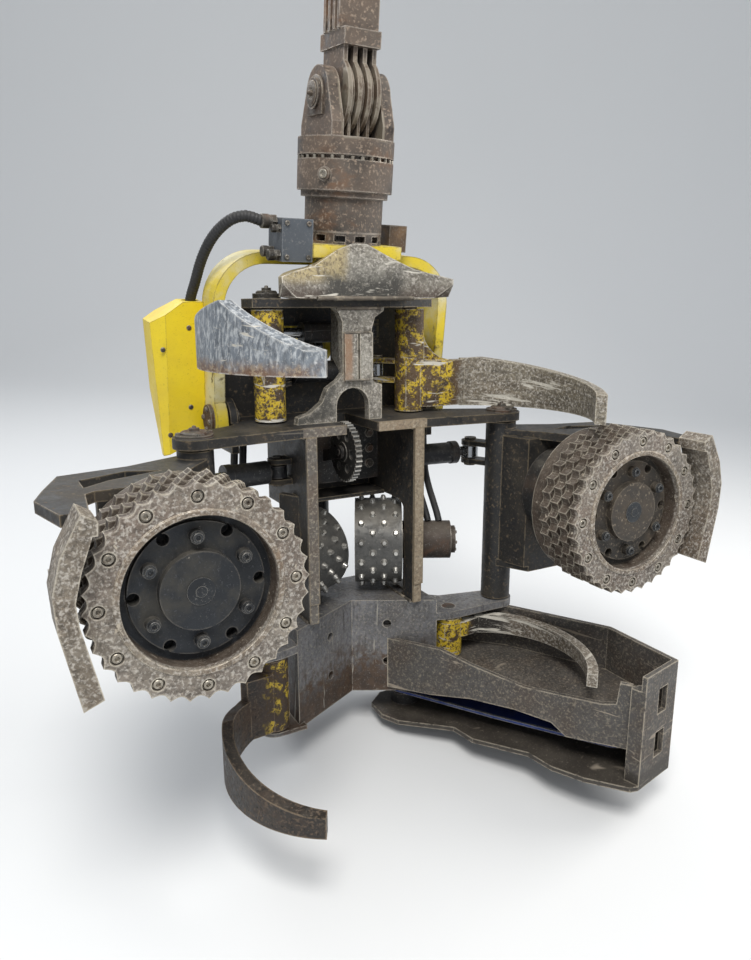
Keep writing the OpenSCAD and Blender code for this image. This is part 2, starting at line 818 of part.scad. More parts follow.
module bar_outline() {
    w = bar_w / 2 - chain_edge;
    tip = bar_reach - chain_edge - w;
    polygon(concat(
        arc([tip, 0], w, -90, 90, 16),
        [[tip - 120, w + 4], [tip / 2, w + 7], [60, w]],
        arc([0, 0], w, 90, 270, 12),
        [[60, -w], [tip / 2, -w - 7], [tip - 120, -w - 4]]));
}

module saw_bar() {
    teeth = 60;
    color("#1c3f8c") in_bar() difference() {
        slab(-bar_t / 2, bar_t / 2) bar_outline();
        rod_z(-50, 50, 60 + 2 * play);
    }
    // the chain runs round the rim
    color("#8e8e8c") in_bar() slab(-4, 4) difference() {
        bar_grown(chain_edge);
        bar_grown(-4);
    }
}

module in_bar() {
    translate([saw_x, saw_y, bar_z]) rotate(saw_rest) children();
}

module bar_grown(g) {
    w = bar_w / 2 - chain_edge + g;
    tip = bar_reach - bar_w / 2;
    polygon(concat(
        arc([tip, 0], w, -90, 90, 16),
        [[tip - 120, w + 4], [tip / 2, w + 7], [60, w]],
        arc([0, 0], w, 90, 270, 12),
        [[60, -w], [tip / 2, -w - 7], [tip - 120, -w - 4]]));
}

// every fixed pin of the head: arms, knives, and the feet of the cylinders
module hinge_pins() {
    color("#505254") {
        for (s = [-1, 1]) on_side(s) {
            translate([arm_x, arm_y, 0]) {
                rod_z(bracket_z, deck_z, arm_pin_d);
                rod_z(deck_z, deck_z + 8, arm_pin_d + 38);
            }
            translate([upper_x, upper_y, 0]) {
                rod_z(deck_z - deck_t, roof_z, hinge_pin_d);
                rod_z(roof_z, roof_z + 14, hinge_pin_d + 34);
            }
            translate([arm_foot[0], arm_foot[1], 0])
                rod_z(arm_cyl_z - 44, arm_cyl_z + 44, 30);
        }
        for (s = [-1, 1])
            translate([-s * knife_foot[0], knife_foot[1], knife_cyl_z[side_of(s)]])
                rod_z(-40, 40, 25);
        translate([-lower_x, lower_y, 0]) rod_z(belly_bottom, bracket_z + bracket_t, hinge_pin_d);
        translate([lower_x, lower_y, 0]) rod_z(-565, bracket_z + bracket_t, hinge_pin_d);
        translate([0, tilt_foot[0], tilt_foot[1]]) rod_x(-50, 50, 45);
    }
}

// hydraulic motor of an inner roller, out through the cut-out of the side plate
module inner_motor(s) {
    color("#5a4436") on_side(s)
        translate([inner_x, inner_y, inner_z]) rotate(-bed_slope) {
            rod_x(-inner_w / 2 + 30, inner_w / 2 + gap + 1, inner_shaft_d);
            rod_x(inner_w / 2 + gap, 236, motor_d);
            rod_x(motor_bar + motor_bar_t, motor_bar + motor_bar_t + 14, motor_d + 40);
            rod_x(236, 252, motor_d - 34);
        }
}

// studded inner roller
module inner_roller(s) {
    studs = 14;
    color("#77726c") on_side(s)
        translate([inner_x, inner_y, inner_z]) rotate(-bed_slope) {
            difference() {
                rod_x(-inner_w / 2, inner_w / 2, inner_d - 24);
                rod_x(-inner_w / 2 - 1, -inner_w / 2 + 18, inner_d - 90);
                rod_x(-inner_w / 2 + 29, inner_w / 2 + 1, inner_shaft_d + 2 * play);
            }
            for (row = [0:3], i = [0:studs - 1])
                rotate([(i + (row % 2) / 2) * 360 / studs, 0, 0])
                    translate([(row - 1.5) * inner_w * 0.24, 0, inner_d / 2 - 14])
                        cylinder(h = 14, d1 = 22, d2 = 12, $fn = 16);
        }
}

// a curved blade round the centre c, from angle a0 to a1; its top edge rises from zr at the
// root to z1 at the distance peak_y and falls to z2 at the tip
module blade(c, r, a0, a1, z0, z1, z2, zr, peak_y) {
    root_y = (c + polar(r, a1))[1];
    tip_y = (c + polar(r, a0))[1];
    difference() {
        translate([c[0], c[1], z0]) rotate(a0) rotate_extrude(angle = a1 - a0, $fn = 96)
            translate([r, 0]) square([blade_t, z1 - z0]);
        slab_x(-200, 400)
            polygon([[root_y + 60, zr], [root_y - 6, zr],
                [0.4 * root_y + 0.6 * peak_y, 0.36 * zr + 0.64 * z1], [peak_y, z1 - 1],
                [tip_y, z2], [tip_y - 60, z2], [tip_y - 60, z1 + 80], [root_y + 60, z1 + 80]]);
    }
}

// casting between a hinge and the root of its blade, seen from above; root is the inner corner
// and back the bend of its outer side
module casting_outline(root, outer, back) {
    polygon([[-hinge_d / 2 + 6, -24], [root[0] * 0.35, root[1] * 0.42 - 26], root, outer,
        back, [22, hinge_d / 2 - 6], [-22, hinge_d / 2 - 6]]);
}

upper_c = [-60, -330];
upper_lever_a = 112.5;

module upper_knife(s) {
    right = side_of(s) == 1;
    z0 = right ? 256 : 427;
    z1 = right ? 410 : 585;
    z2 = right ? 336 : 482;
    zr = right ? z1 - 4 : 495;
    cast_top = min(zr - 3, knife_high);
    root = upper_c + polar(upper_r + 4, 46);
    outer = upper_c + polar(upper_r + blade_t - 4, 46);
    eye_z = knife_cyl_z[side_of(s)];
    web_r = 100;
    color("#8f8c86") on_side(s)
        translate([upper_x, upper_y, 0]) rotate(right ? upper_right_open : 0) difference() {
            union() {
                rod_z(knife_low, knife_high, hinge_d);
                slab(z0 + 3, cast_top) casting_outline(root, outer, [87, -44]);
                blade(upper_c, upper_r, -60, 50, z0, z1, z2, zr, right ? -120 : -426);
                // curved web between the tube and the blade
                rotate(heading(outer) - 9) slab_y(-12, 12) difference() {
                    translate([30, right ? cast_top - 1 : knife_low])
                        square([95, right ? knife_high - cast_top : z0 - knife_low + 1]);
                    translate([40 + web_r, right ? cast_top + web_r : z0 - web_r])
                        circle(web_r);
                    translate([40, right ? cast_top + web_r : 0])
                        square([200, right ? 500 : z0 - web_r]);
                }
                for (z = [eye_z - 38, eye_z + 22]) slab(z, z + 16)
                    lug(polar(knife_lever, upper_lever_a), [0, 0], 22);
                translate(polar(knife_lever, upper_lever_a)) for (z = [eye_z - 46, eye_z + 22])
                    rod_z(z, z + 24, 34);
            }
            rod_z(0, 900, hinge_pin_d + 2 * play);
        }
}

lower_c = [-75, -265];

module lower_knife(s) {
    right = side_of(s) == 1;
    z0 = right ? -487 : -636;
    z1 = right ? -425 : -493;
    tube_low = right ? -545 : belly_bottom + 13 + gap;
    root = lower_c + polar(lower_r + 4, 51);
    outer = lower_c + polar(lower_r + blade_t - 4, 51);
    color("#86827a") on_side(s)
        translate([lower_x, lower_y, 0]) rotate(right ? lower_right_open : 0) difference() {
            union() {
                rod_z(tube_low, bracket_z - gap, hinge_d);
                slab(z0 + 3, right ? z1 - 6 : -452) casting_outline(root, outer, [55, 10]);
                blade(lower_c, lower_r, -60, 55, z0, z1, right ? z1 - 22 : -580,
                    right ? z1 - 3 : z1 - 20, right ? -100 : -150);
            }
            rod_z(-900, 0, hinge_pin_d + 2 * play);
        }
}

// flange of a roller arm seen from above, behind the roller and out to its guard
module flange_outline() {
    behind = roller_w + 10;
    difference() {
        union() {
            polygon([[arm_x - 20, arm_y - 43], [arm_x + 50, 330], [600, behind + 12],
                [785, behind + 4], [805, 190], [818, 45], [872, 45], [905, 180], [883, 262],
                [838, 400], [674, 435], [arm_x + 30, arm_y + 40], [arm_x, arm_y + 46]]);
            translate([arm_x, arm_y]) circle(arm_tube_d / 2);
        }
        translate([arm_x, arm_y]) circle(d = arm_pin_d + 2 * play);
        // lightening cut-out between the hinge and the outer rim
        polygon([[610, 350], [740, 300], [800, 250], [800, 330], [690, 380]]);
    }
}

module arm(s) {
    web_y = 335;
    lever_at = [arm_x, arm_y];
    eye = polar(arm_lever, 115);
    color("#47494c") on_side(s) {
        slab(165, 190) flange_outline();
        slab(-263, -240) difference() {
            polygon([[arm_x - 30, arm_y - 36], [520, web_y], [740, web_y], [745, web_y + 25],
                [700, 392], [arm_x + 26, arm_y + 42]]);
            translate(lever_at) circle(d = arm_pin_d + 2 * play);
        }
        difference() {
            union() {
                translate([arm_x, arm_y, 0]) rod_z(arm_low, arm_high, arm_tube_d);
                slab_y(web_y, web_y + 25) difference() {
                    translate([515, -245]) square([250, 415]);
                    translate([765, -245]) circle(90);
                }
                slab(-245, 170) {
                    polygon([[472, 428], [500, web_y], [525, web_y], [520, 440]]);
                    polygon([[530, 470], [700, web_y + 20], [722, web_y + 25], [540, 492]]);
                }
                for (z = [arm_cyl_z - 38, arm_cyl_z + 22]) slab(z, z + 16)
                    translate(lever_at) lug(eye, [0, 0], 29);
                translate([lever_at[0] + eye[0], lever_at[1] + eye[1], 0])
                    for (z = [arm_cyl_z - 46, arm_cyl_z + 22]) rod_z(z, z + 24, 38);
            }
            translate([arm_x, arm_y, 0]) rod_z(-500, 400, arm_pin_d + 2 * play);
            // room for the back end of the roller's motor between the ribs
            translate([roller_x, 0, 0]) rod_y(web_y + 25, 520, 158);
        }
    }
}

// bent bar that guards the outside of a feed roller, as X and Z
module guard(s) {
    color("#6b655d") on_side(s) {
        slab_y(-45, 45)
            polygon([[818, 165], [816, 192], [845, 210], [888, 130], [906, 62], [903, -10],
                [872, -176], [832, -160], [864, -4], [867, 44], [852, 100], [828, 165]]);
        slab_x(872, 896) polygon([[44, 10], [120, 20], [130, 60], [44, 76]]);
    }
}

motor_r = 138;
hub_face = 50;
shaft_d = 70;

module roller_motor(s) {
    color("#2f3032") on_side(s) translate([roller_x, 0, 0]) {
        rod_y(roller_w - 78, 335, 2 * motor_r);
        // output shaft, which the hub turns on
        rod_y(hub_face + 15, roller_w - 77, shaft_d);
        rod_y(roller_w + 20, roller_w + 40, 2 * motor_r + 44);
        rod_y(360, 430, 150);
        rod_y(430, 446, 110);
    }
}

// outline of one cleated ring: scallops between pointed teeth
module cleat_outline(r, depth) {
    steps = 6;
    polygon([for (i = [0:tooth_count - 1], k = [0:steps - 1])
        polar(r - depth * sin(180 * k / steps), (i + k / steps) * 360 / tooth_count)]);
}

module feed_ring(s) {
    tip_r = roller_d / 2;
    drum_r = tip_r - tooth_depth - 6;
    ring_w = 30;
    ring_pitch = 38;
    bolt_r = tip_r - 31;
    color("#857767") on_side(s) translate([roller_x, 0, 0]) difference() {
        union() {
            for (i = [0:3]) slab_y(i * ring_pitch, i * ring_pitch + ring_w)
                rotate(i * 180 / tooth_count) cleat_outline(tip_r, tooth_depth);
            rod_y(4, roller_w, 2 * drum_r);
        }
        rod_y(-1, roller_w + 1, rim_bore_d);
        for (a = [0:30:330]) rotate([0, a, 0]) translate([bolt_r, 0, 0]) rod_y(-1, 12, 28);
    }
}

module feed_hub(s) {
    face = hub_face;
    color("#2b2a29") on_side(s) translate([roller_x, 0, 0]) difference() {
        union() {
            rod_y(face, face + 35, rim_bore_d - 2 * play);
            rod_y(face - 14, face, 290);
            rod_y(face - 34, face, 170);
            for (a = [30:60:330]) rotate([0, a, 0]) translate([115, 0, 0])
                rod_y(face - 30, face, 30);
        }
        for (a = [0:60:300]) rotate([0, a, 0]) translate([133, 0, 0])
            rod_y(face - 40, face + 20, 26);
        rod_y(face + 14, face + 36, shaft_d + 2 * play);
    }
}

// tube of a hydraulic cylinder along X, from the eye at the origin; the tube begins at start
module barrel(start, reach, d, eye_w, pin_d, bore) {
    difference() {
        union() {
            rod_z(-eye_w / 2, eye_w / 2, pin_d * 1.9);
            rod_x(0, start, eye_w - 2);
            rod_x(start, reach, d);
            rod_x(reach - 22, reach, d + 6);
        }
        rod_z(-eye_w, eye_w, pin_d + 2 * play);
        rod_x(start + 8, reach + 1, bore + 2 * play);
    }
}

// its rod, whose eye lies at a distance far from the origin
module piston_rod(near, far, d, eye_w, eye_d) {
    rod_x(near, far - eye_d * 0.3, d);
    translate([far, 0, 0]) rod_z(-eye_w / 2, eye_w / 2, eye_d);
}

// puts a cylinder drawn along X between two points of the level plane at height z
module between(from, to, z) {
    translate([from[0], from[1], z]) rotate(heading(to - from)) children();
}

function arm_eye() = [arm_x, arm_y] + polar(arm_lever, 115);
function knife_eye(s) = [upper_x, upper_y]
    + polar(knife_lever, upper_lever_a + (s > 0 ? upper_right_open : 0));
function knife_start(s) = [-knife_foot[0], knife_foot[1]];

module arm_barrel(s) {
    color("#2c2d30") on_side(s) between(arm_foot, arm_eye(), arm_cyl_z)
        barrel(34, 168, arm_cyl_d, 36, 30, 34);
}

module arm_rod(s) {
    color("#b9bbbd") on_side(s) between(arm_foot, arm_eye(), arm_cyl_z)
        piston_rod(60, length(arm_eye() - arm_foot), 34, 36, 52);
}

module knife_barrel(s) {
    color("#2c2d30") on_side(s) between(knife_start(s), knife_eye(s), knife_cyl_z[side_of(s)])
        barrel(30, 240, knife_cyl_d, 36, 25, 32);
}

module knife_rod(s) {
    color("#b9bbbd") on_side(s) between(knife_start(s), knife_eye(s), knife_cyl_z[side_of(s)])
        piston_rod(80, length(knife_eye(s) - knife_start(s)), 32, 36, 43);
}

module tilt_place() {
    top = [tilt_y + tilt_lever[0], tilt_z + tilt_lever[1]];
    d = rotated_back(tilt_lever);
    translate([0, tilt_foot[0], tilt_foot[1]]) rotate([90, 0, 90])
        rotate(heading([tilt_y, tilt_z] + d - tilt_foot)) children();
}

// a point of the upright tilt frame, seen from the leaning head
function rotated_back(v) = [v[0] * cos(head_lean) - v[1] * sin(head_lean),
    v[0] * sin(head_lean) + v[1] * cos(head_lean)];
function tilt_reach() = length([tilt_y, tilt_z] + rotated_back(tilt_lever) - tilt_foot);

module tilt_barrel() {
    color("#2c2d30") tilt_place() barrel(50, 475, tilt_cyl_d, 40, 45, 50);
}

module tilt_rod() {
    color("#b9bbbd") tilt_place() piston_rod(435, tilt_reach(), 50, 40, 80);
}

hanger_link();
rotator_bracket();
rotator_housing();
rotor_flange();
tilt_frame();
tilt_cover(-1);  // tilt_cover_left
tilt_cover(1);  // tilt_cover_right
port_block();
valve_cover();
tilt_hose();
tilt_pins();
in_head() frame_shell();
in_head() side_plate(-1);  // side_plate_left
in_head() side_plate(1);  // side_plate_right
in_head() lower_housing();
in_head() spine();
in_head() roof_plate();
in_head() top_knife();
in_head() valve_block();
in_head() saw_box();
in_head() saw_hub();
in_head() hinge_pins();
in_head() inner_motor(-1);  // inner_motor_left
in_head() inner_motor(1);  // inner_motor_right
in_head() upper_knife(-1);  // upper_knife_left
in_head() upper_knife(1);  // upper_knife_right
in_head() lower_knife(-1);  // lower_knife_left
in_head() lower_knife(1);  // lower_knife_right
in_head() arm(-1);  // arm_left
in_head() arm(1);  // arm_right
in_head() guard(-1);  // guard_left
in_head() guard(1);  // guard_right
in_head() roller_motor(-1);  // roller_motor_left
in_head() roller_motor(1);  // roller_motor_right
in_head() feed_ring(-1);  // feed_ring_left
in_head() feed_ring(1);  // feed_ring_right
in_head() feed_hub(-1);  // feed_hub_left
in_head() feed_hub(1);  // feed_hub_right
in_head() inner_roller(-1);  // inner_roller_left
in_head() inner_roller(1);  // inner_roller_right
in_head() measuring_wheel();
in_head() saw_bar();
in_head() tilt_barrel();
in_head() tilt_rod();
in_head() arm_barrel(-1);  // arm_barrel_left
in_head() arm_barrel(1);  // arm_barrel_right
in_head() arm_rod(-1);  // arm_rod_left
in_head() arm_rod(1);  // arm_rod_right
in_head() knife_barrel(-1);  // knife_barrel_left
in_head() knife_barrel(1);  // knife_barrel_right
in_head() knife_rod(-1);  // knife_rod_left
in_head() knife_rod(1);  // knife_rod_right
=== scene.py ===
import bpy, bmesh, math
from mathutils import Matrix, Vector


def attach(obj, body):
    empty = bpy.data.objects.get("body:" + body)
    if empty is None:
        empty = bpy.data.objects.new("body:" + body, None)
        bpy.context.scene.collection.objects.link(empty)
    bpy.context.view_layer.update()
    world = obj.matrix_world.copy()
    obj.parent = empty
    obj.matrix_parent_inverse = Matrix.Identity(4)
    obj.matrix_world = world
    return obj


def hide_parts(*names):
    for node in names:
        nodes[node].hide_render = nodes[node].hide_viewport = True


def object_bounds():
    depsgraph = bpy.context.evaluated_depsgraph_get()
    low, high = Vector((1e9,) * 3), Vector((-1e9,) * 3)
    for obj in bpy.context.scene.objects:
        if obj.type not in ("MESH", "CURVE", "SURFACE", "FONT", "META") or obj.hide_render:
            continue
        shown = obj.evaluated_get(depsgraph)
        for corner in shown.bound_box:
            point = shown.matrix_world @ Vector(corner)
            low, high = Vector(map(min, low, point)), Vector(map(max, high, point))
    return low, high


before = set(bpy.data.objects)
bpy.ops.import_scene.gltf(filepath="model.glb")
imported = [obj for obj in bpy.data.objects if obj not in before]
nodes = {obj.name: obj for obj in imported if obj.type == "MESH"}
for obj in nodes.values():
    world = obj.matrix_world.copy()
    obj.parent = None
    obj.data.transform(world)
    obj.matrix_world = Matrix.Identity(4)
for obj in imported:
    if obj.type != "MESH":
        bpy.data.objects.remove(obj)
cadBounds = [list(corner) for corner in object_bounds()]
scene = bpy.context.scene
print("frame loaded")


def newObject(name, data):
    made = bpy.data.objects.new(name, data)
    scene.collection.objects.link(made)
    return made


# the leaning head: points are written in mm, midway between the feed roller axes
headPose = {"lean": 7.0, "pivotY": 0.040, "pivotZ": -1.1603, "headY": 0.700, "headZ": 0.250}


def headMatrix():
    turn = Matrix.Rotation(math.radians(-headPose["lean"]), 4, "X")
    return (Matrix.Translation((0, headPose["pivotY"], headPose["pivotZ"])) @ turn
            @ Matrix.Translation((0, -headPose["headY"], -headPose["headZ"])))


inHead = headMatrix()


def headPoint(x, y, z):
    return inHead @ Vector((x / 1000, y / 1000, z / 1000))


# camera
view = {"place": (-1.001, -2.0386, -0.5769), "forward": (0.4625, 0.8178, -0.3311),
        "up": (0.1098, 0.3172, 0.9424), "right": (0.8805, -0.4795, 0.0579), "lens": 28.2}
cameraData = bpy.data.cameras.new("photoCamera")
cameraData.sensor_fit = "VERTICAL"
cameraData.sensor_height = 36
cameraData.lens = view["lens"]
cameraData.clip_start = 0.05
photoCamera = newObject("photoCamera", cameraData)
across, upward, forward = (Vector(view[k]).normalized() for k in ("right", "up", "forward"))
turn = Matrix((across, upward, -forward)).transposed().to_4x4()
photoCamera.matrix_world = Matrix.Translation(view["place"]) @ turn
scene.camera = photoCamera
print("camera placed")


# small helpers for node trees
def addNode(tree, kind, **settings):
    made = tree.nodes.new(kind)
    for key, value in settings.items():
        setattr(made, key, value)
    return made


def put(tree, value, socket):
    if isinstance(value, bpy.types.NodeSocket):
        tree.links.new(value, socket)
    else:
        socket.default_value = value


def wired(tree, kind, values, **settings):
    # a node with its inputs linked or set
    made = addNode(tree, kind, **settings)
    for key, value in values.items():
        put(tree, value, made.inputs[key])
    return made


def mathNode(tree, operation, a, b=0.0, clamp=False):
    return wired(tree, "ShaderNodeMath", {0: a, 1: b}, operation=operation, use_clamp=clamp).outputs[0]


def times(tree, a, b, clamp=False):
    return mathNode(tree, "MULTIPLY", a, b, clamp)


def vectorMath(tree, operation, *values):
    return wired(tree, "ShaderNodeVectorMath", dict(enumerate(values)), operation=operation).outputs


def mixColor(tree, factor, first, second):
    return wired(tree, "ShaderNodeMix", {0: factor, 6: first, 7: second}, data_type="RGBA").outputs[2]


def mixValue(tree, factor, first, second):
    return wired(tree, "ShaderNodeMix", {0: factor, 2: first, 3: second}, data_type="FLOAT").outputs[0]


def noiseNode(tree, coordinates, scale, detail=6.0, rough=0.6, distortion=0.0):
    return wired(tree, "ShaderNodeTexNoise", {"Vector": coordinates, "Scale": scale, "Detail": detail,
                                              "Roughness": rough, "Distortion": distortion}).outputs[0]


def rampMask(tree, value, low, high):
    return wired(tree, "ShaderNodeMapRange", {"Value": value, "From Min": low, "From Max": high}, clamp=True,
                 interpolation_type="SMOOTHSTEP").outputs["Result"]


def objectPlace(tree):
    return addNode(tree, "ShaderNodeTexCoord").outputs["Object"]


def newGroup(name, values, output="Mask"):
    # a shader group whose inputs take their kind from their values
    group = bpy.data.node_groups.new(name, "ShaderNodeTree")
    for label, value in values.items():
        kind = "NodeSocketVector" if isinstance(value, tuple) else "NodeSocketFloat"
        group.interface.new_socket(label, in_out="INPUT", socket_type=kind).default_value = value
    group.interface.new_socket(output, in_out="OUTPUT", socket_type="NodeSocketFloat")
    return group, addNode(group, "NodeGroupInput").outputs, addNode(group, "NodeGroupOutput").inputs[0]


# surface effects that several finishes share
def buildPatchGroup():
    # irregular stains: Cover runs from 0, none, to 1, everywhere
    group, given, result = newGroup("stainPatches", {"Scale": 6.0, "Cover": 0.5, "Softness": 0.1,
                                                     "Stretch": (1, 1, 1)})
    stretched = vectorMath(group, "MULTIPLY", objectPlace(group), given["Stretch"])[0]
    broad = noiseNode(group, stretched, given["Scale"], 8.0, 0.62, 0.3)
    level = mathNode(group, "SUBTRACT", 0.78, times(group, given["Cover"], 0.56))
    low = mathNode(group, "SUBTRACT", level, given["Softness"])
    high = mathNode(group, "ADD", level, given["Softness"])
    put(group, rampMask(group, broad, low, high), result)
    return group


def buildEdgeGroup():
    # bare and rubbed edges, from the difference between the rounded and the true normal
    group, given, result = newGroup("rubbedEdges", {"Radius": 0.006, "Amount": 0.6})
    rounded = wired(group, "ShaderNodeBevel", {"Radius": given["Radius"]}, samples=4).outputs[0]
    true = addNode(group, "ShaderNodeNewGeometry").outputs["Normal"]
    bend = mathNode(group, "SUBTRACT", 1.0, vectorMath(group, "DOT_PRODUCT", rounded, true)["Value"])
    broken = noiseNode(group, objectPlace(group), 34.0, 5.0, 0.65)
    level = times(group, bend, times(group, given["Amount"], 14.0))
    put(group, times(group, level, rampMask(group, broken, 0.36, 0.62), True), result)
    return group


def buildScratchGroup():
    # fine scores along one direction, and short random nicks across it
    group, given, result = newGroup("scoredLines", {"Scale": 40.0, "Along": (0.06, 1, 1), "Amount": 0.5})
    place = objectPlace(group)
    drawn = vectorMath(group, "MULTIPLY", place, given["Along"])[0]
    lines = noiseNode(group, drawn, given["Scale"], 3.0, 0.7, 0.4)
    nicks = noiseNode(group, place, 160.0, 2.0, 0.5, 1.6)
    level = mathNode(group, "SUBTRACT", 0.76, times(group, given["Amount"], 0.3))
    first = rampMask(group, lines, level, mathNode(group, "ADD", level, 0.05))
    second = times(group, rampMask(group, nicks, 0.64, 0.68), 0.5)
    put(group, mathNode(group, "MAXIMUM", first, second), result)
    return group


def buildDustGroup():
    # pale dust where a face looks up, thicker in blotches
    group, given, result = newGroup("settledDust", {"Amount": 0.4})
    normal = addNode(group, "ShaderNodeNewGeometry").outputs["Normal"]
    height = wired(group, "ShaderNodeSeparateXYZ", {0: normal}).outputs["Z"]
    blotch = rampMask(group, noiseNode(group, objectPlace(group), 11.0, 7.0, 0.6), 0.36, 0.66)
    both = times(group, rampMask(group, height, 0.15, 0.95), blotch)
    put(group, times(group, both, given["Amount"], True), result)
    return group


def buildGrainGroup():
    # pitted and rolled surface, as a height
    group, given, result = newGroup("pittedGrain", {"Scale": 90.0, "Pits": 0.5}, "Height")
    place = objectPlace(group)
    fine = noiseNode(group, place, given["Scale"], 8.0, 0.65)
    broad = noiseNode(group, place, 14.0, 4.0, 0.5)
    cells = wired(group, "ShaderNodeTexVoronoi", {"Vector": place}, feature="SMOOTH_F1")
    put(group, times(group, given["Scale"], 0.8), cells.inputs["Scale"])
    pit = times(group, rampMask(group, cells.outputs["Distance"], 0.0, 0.32), given["Pits"])
    level = mathNode(group, "ADD", times(group, fine, 0.5), times(group, broad, 0.6))
    put(group, mathNode(group, "ADD", level, times(group, pit, 0.4)), result)
    return group


def raggedInside(group, place, away, given):
    # 1 where away is below zero, with a border that noise makes ragged
    wander = mathNode(group, "SUBTRACT", noiseNode(group, place, 26.0, 5.0, 0.6), 0.5)
    edge = mathNode(group, "ADD", away, times(group, wander, given["Ragged"]))
    soft = given["Softness"]
    outside = rampMask(group, edge, times(group, soft, -1.0), soft)
    return mathNode(group, "SUBTRACT", 1.0, outside)


def buildZoneGroup():
    # a box turned with the leaning head
    group, given, result = newGroup("zoneBox", {"Centre": (0, 0, 0), "Half": (0.1, 0.1, 0.1), "Lean": 0.0,
                                                "Softness": 0.01, "Ragged": 0.0})
    place = objectPlace(group)
    shifted = vectorMath(group, "SUBTRACT", place, given["Centre"])[0]
    turned = wired(group, "ShaderNodeVectorRotate", {"Vector": shifted, "Angle": given["Lean"]},
                   rotation_type="X_AXIS").outputs[0]
    beyond = vectorMath(group, "SUBTRACT", vectorMath(group, "ABSOLUTE", turned)[0], given["Half"])[0]
    parts = wired(group, "ShaderNodeSeparateXYZ", {0: beyond}).outputs
    most = mathNode(group, "MAXIMUM", parts[0], mathNode(group, "MAXIMUM", parts[1], parts[2]))
    put(group, raggedInside(group, place, most, given), result)
    return group


def buildAxisGroup():
    # the space round a pin or shaft
    group, given, result = newGroup("aroundAxis", {"Point": (0, 0, 0), "Direction": (0, 0, 1), "Radius": 0.1,
                                                   "Softness": 0.005, "Ragged": 0.0})
    place = objectPlace(group)
    shifted = vectorMath(group, "SUBTRACT", place, given["Point"])[0]
    swept = vectorMath(group, "CROSS_PRODUCT", shifted, given["Direction"])[0]
    reach = vectorMath(group, "LENGTH", swept)["Value"]
    away = mathNode(group, "SUBTRACT", reach, given["Radius"])
    put(group, raggedInside(group, place, away, given), result)
    return group


effects = {"patches": buildPatchGroup(), "edges": buildEdgeGroup(), "scores": buildScratchGroup(),
           "dust": buildDustGroup(), "grain": buildGrainGroup(), "zone": buildZoneGroup(),
           "axis": buildAxisGroup()}


def effect(tree, name, **values):
    return wired(tree, "ShaderNodeGroup", values, node_tree=effects[name]).outputs[0]


def rgb(color):
    # hex colour as the linear values that a shader takes
    parts = [int(color[i:i + 2], 16) / 255 for i in (1, 3, 5)]
    return tuple(c / 12.92 if c <= 0.04045 else ((c + 0.055) / 1.055) ** 2.4 for c in parts) + (1.0,)


def stain(scale, cover, color, soft=0.06, **more):
    return dict(scale=scale, cover=cover, color=color, soft=soft, **more)


def area(place, color, broken=None, **more):
    # colour within a place; broken is the scale, cover and softness of the patches that it keeps to
    return dict(kind="axis" if "Radius" in place else "zone", place=place, color=color, broken=broken, **more)


# what a finish has where it says nothing else
plainLook = {"rough": 0.6, "metal": 0.0, "stains": [], "areas": [], "pits": 0.4, "bump": 0.35, "dust": 0.35,
             "dustColor": "#8f8779", "edges": 0.5, "edgeRadius": 0.006, "edgeColor": "#9a958c", "edgeMetal": 0.6,
             "scores": 0.3, "scoreColor": "#8d8b86", "along": (0.06, 1, 1)}


def newMaterial(name):
    material = bpy.data.materials.new(name)
    material.use_nodes = True
    return material, material.node_tree, material.node_tree.nodes["Principled BSDF"]


def wornFinish(name, given):
    # one worn surface: two base tones, stains, coloured areas of paint, rust and painted shade, scores, rubbed edges
    # and dust
    look = dict(plainLook, **given)
    material, tree, shader = newMaterial(name)
    tone = effect(tree, "patches", Scale=5.0, Cover=0.5, Softness=0.14)
    fine = effect(tree, "patches", Scale=60.0, Cover=0.5, Softness=0.2)
    color = mixColor(tree, tone, rgb(look["base"]), rgb(look["tone"]))
    rough = mixValue(tree, fine, look["rough"] - 0.08, look["rough"] + 0.1)
    metal = look["metal"]

    def lay(mask, layer, roughness):
        nonlocal color, rough, metal
        if "amount" in layer:
            mask = times(tree, mask, layer["amount"])
        color = mixColor(tree, mask, color, rgb(layer["color"]))
        rough = mixValue(tree, mask, rough, layer.get("rough", roughness))
        metal = mixValue(tree, mask, metal, layer.get("metal", 0.0))

    for layer in look["stains"]:
        lay(effect(tree, "patches", Scale=layer["scale"], Cover=layer["cover"], Softness=layer["soft"],
                   Stretch=layer.get("stretch", (1, 1, 1))), layer, 0.8)
    for layer in look["areas"]:
        mask = effect(tree, layer["kind"], **layer["place"])
        if layer["broken"]:
            patches = effect(tree, "patches", **dict(zip(("Scale", "Cover", "Softness"), layer["broken"])))
            mask = times(tree, mask, patches)
        lay(mask, layer, 0.6)
    height = effect(tree, "grain", Scale=90.0, Pits=look["pits"])
    scores = effect(tree, "scores", Scale=40.0, Along=look["along"], Amount=look["scores"])
    color = mixColor(tree, scores, color, rgb(look["scoreColor"]))
    edges = effect(tree, "edges", Radius=look["edgeRadius"], Amount=look["edges"])
    lay(edges, {"color": look["edgeColor"], "metal": look["edgeMetal"]}, 0.42)
    lay(effect(tree, "dust", Amount=look["dust"]), {"color": look["dustColor"]}, 0.9)
    low = mathNode(tree, "SUBTRACT", height, times(tree, scores, 0.15))
    bump = wired(tree, "ShaderNodeBump", {"Strength": look["bump"], "Distance": 0.004, "Height": low})
    surface = {"Base Color": color, "Roughness": rough, "Metallic": metal, "Normal": bump.outputs[0]}
    for label, value in surface.items():
        put(tree, value, shader.inputs[label])
    return material


def headAxis(x, y, z):
    return (inHead.to_3x3() @ Vector((x, y, z))).normalized()


def boxLimits(x, y, z):
    return [sum(pair) / 2 for pair in (x, y, z)], tuple((pair[1] - pair[0]) / 2000 for pair in (x, y, z))


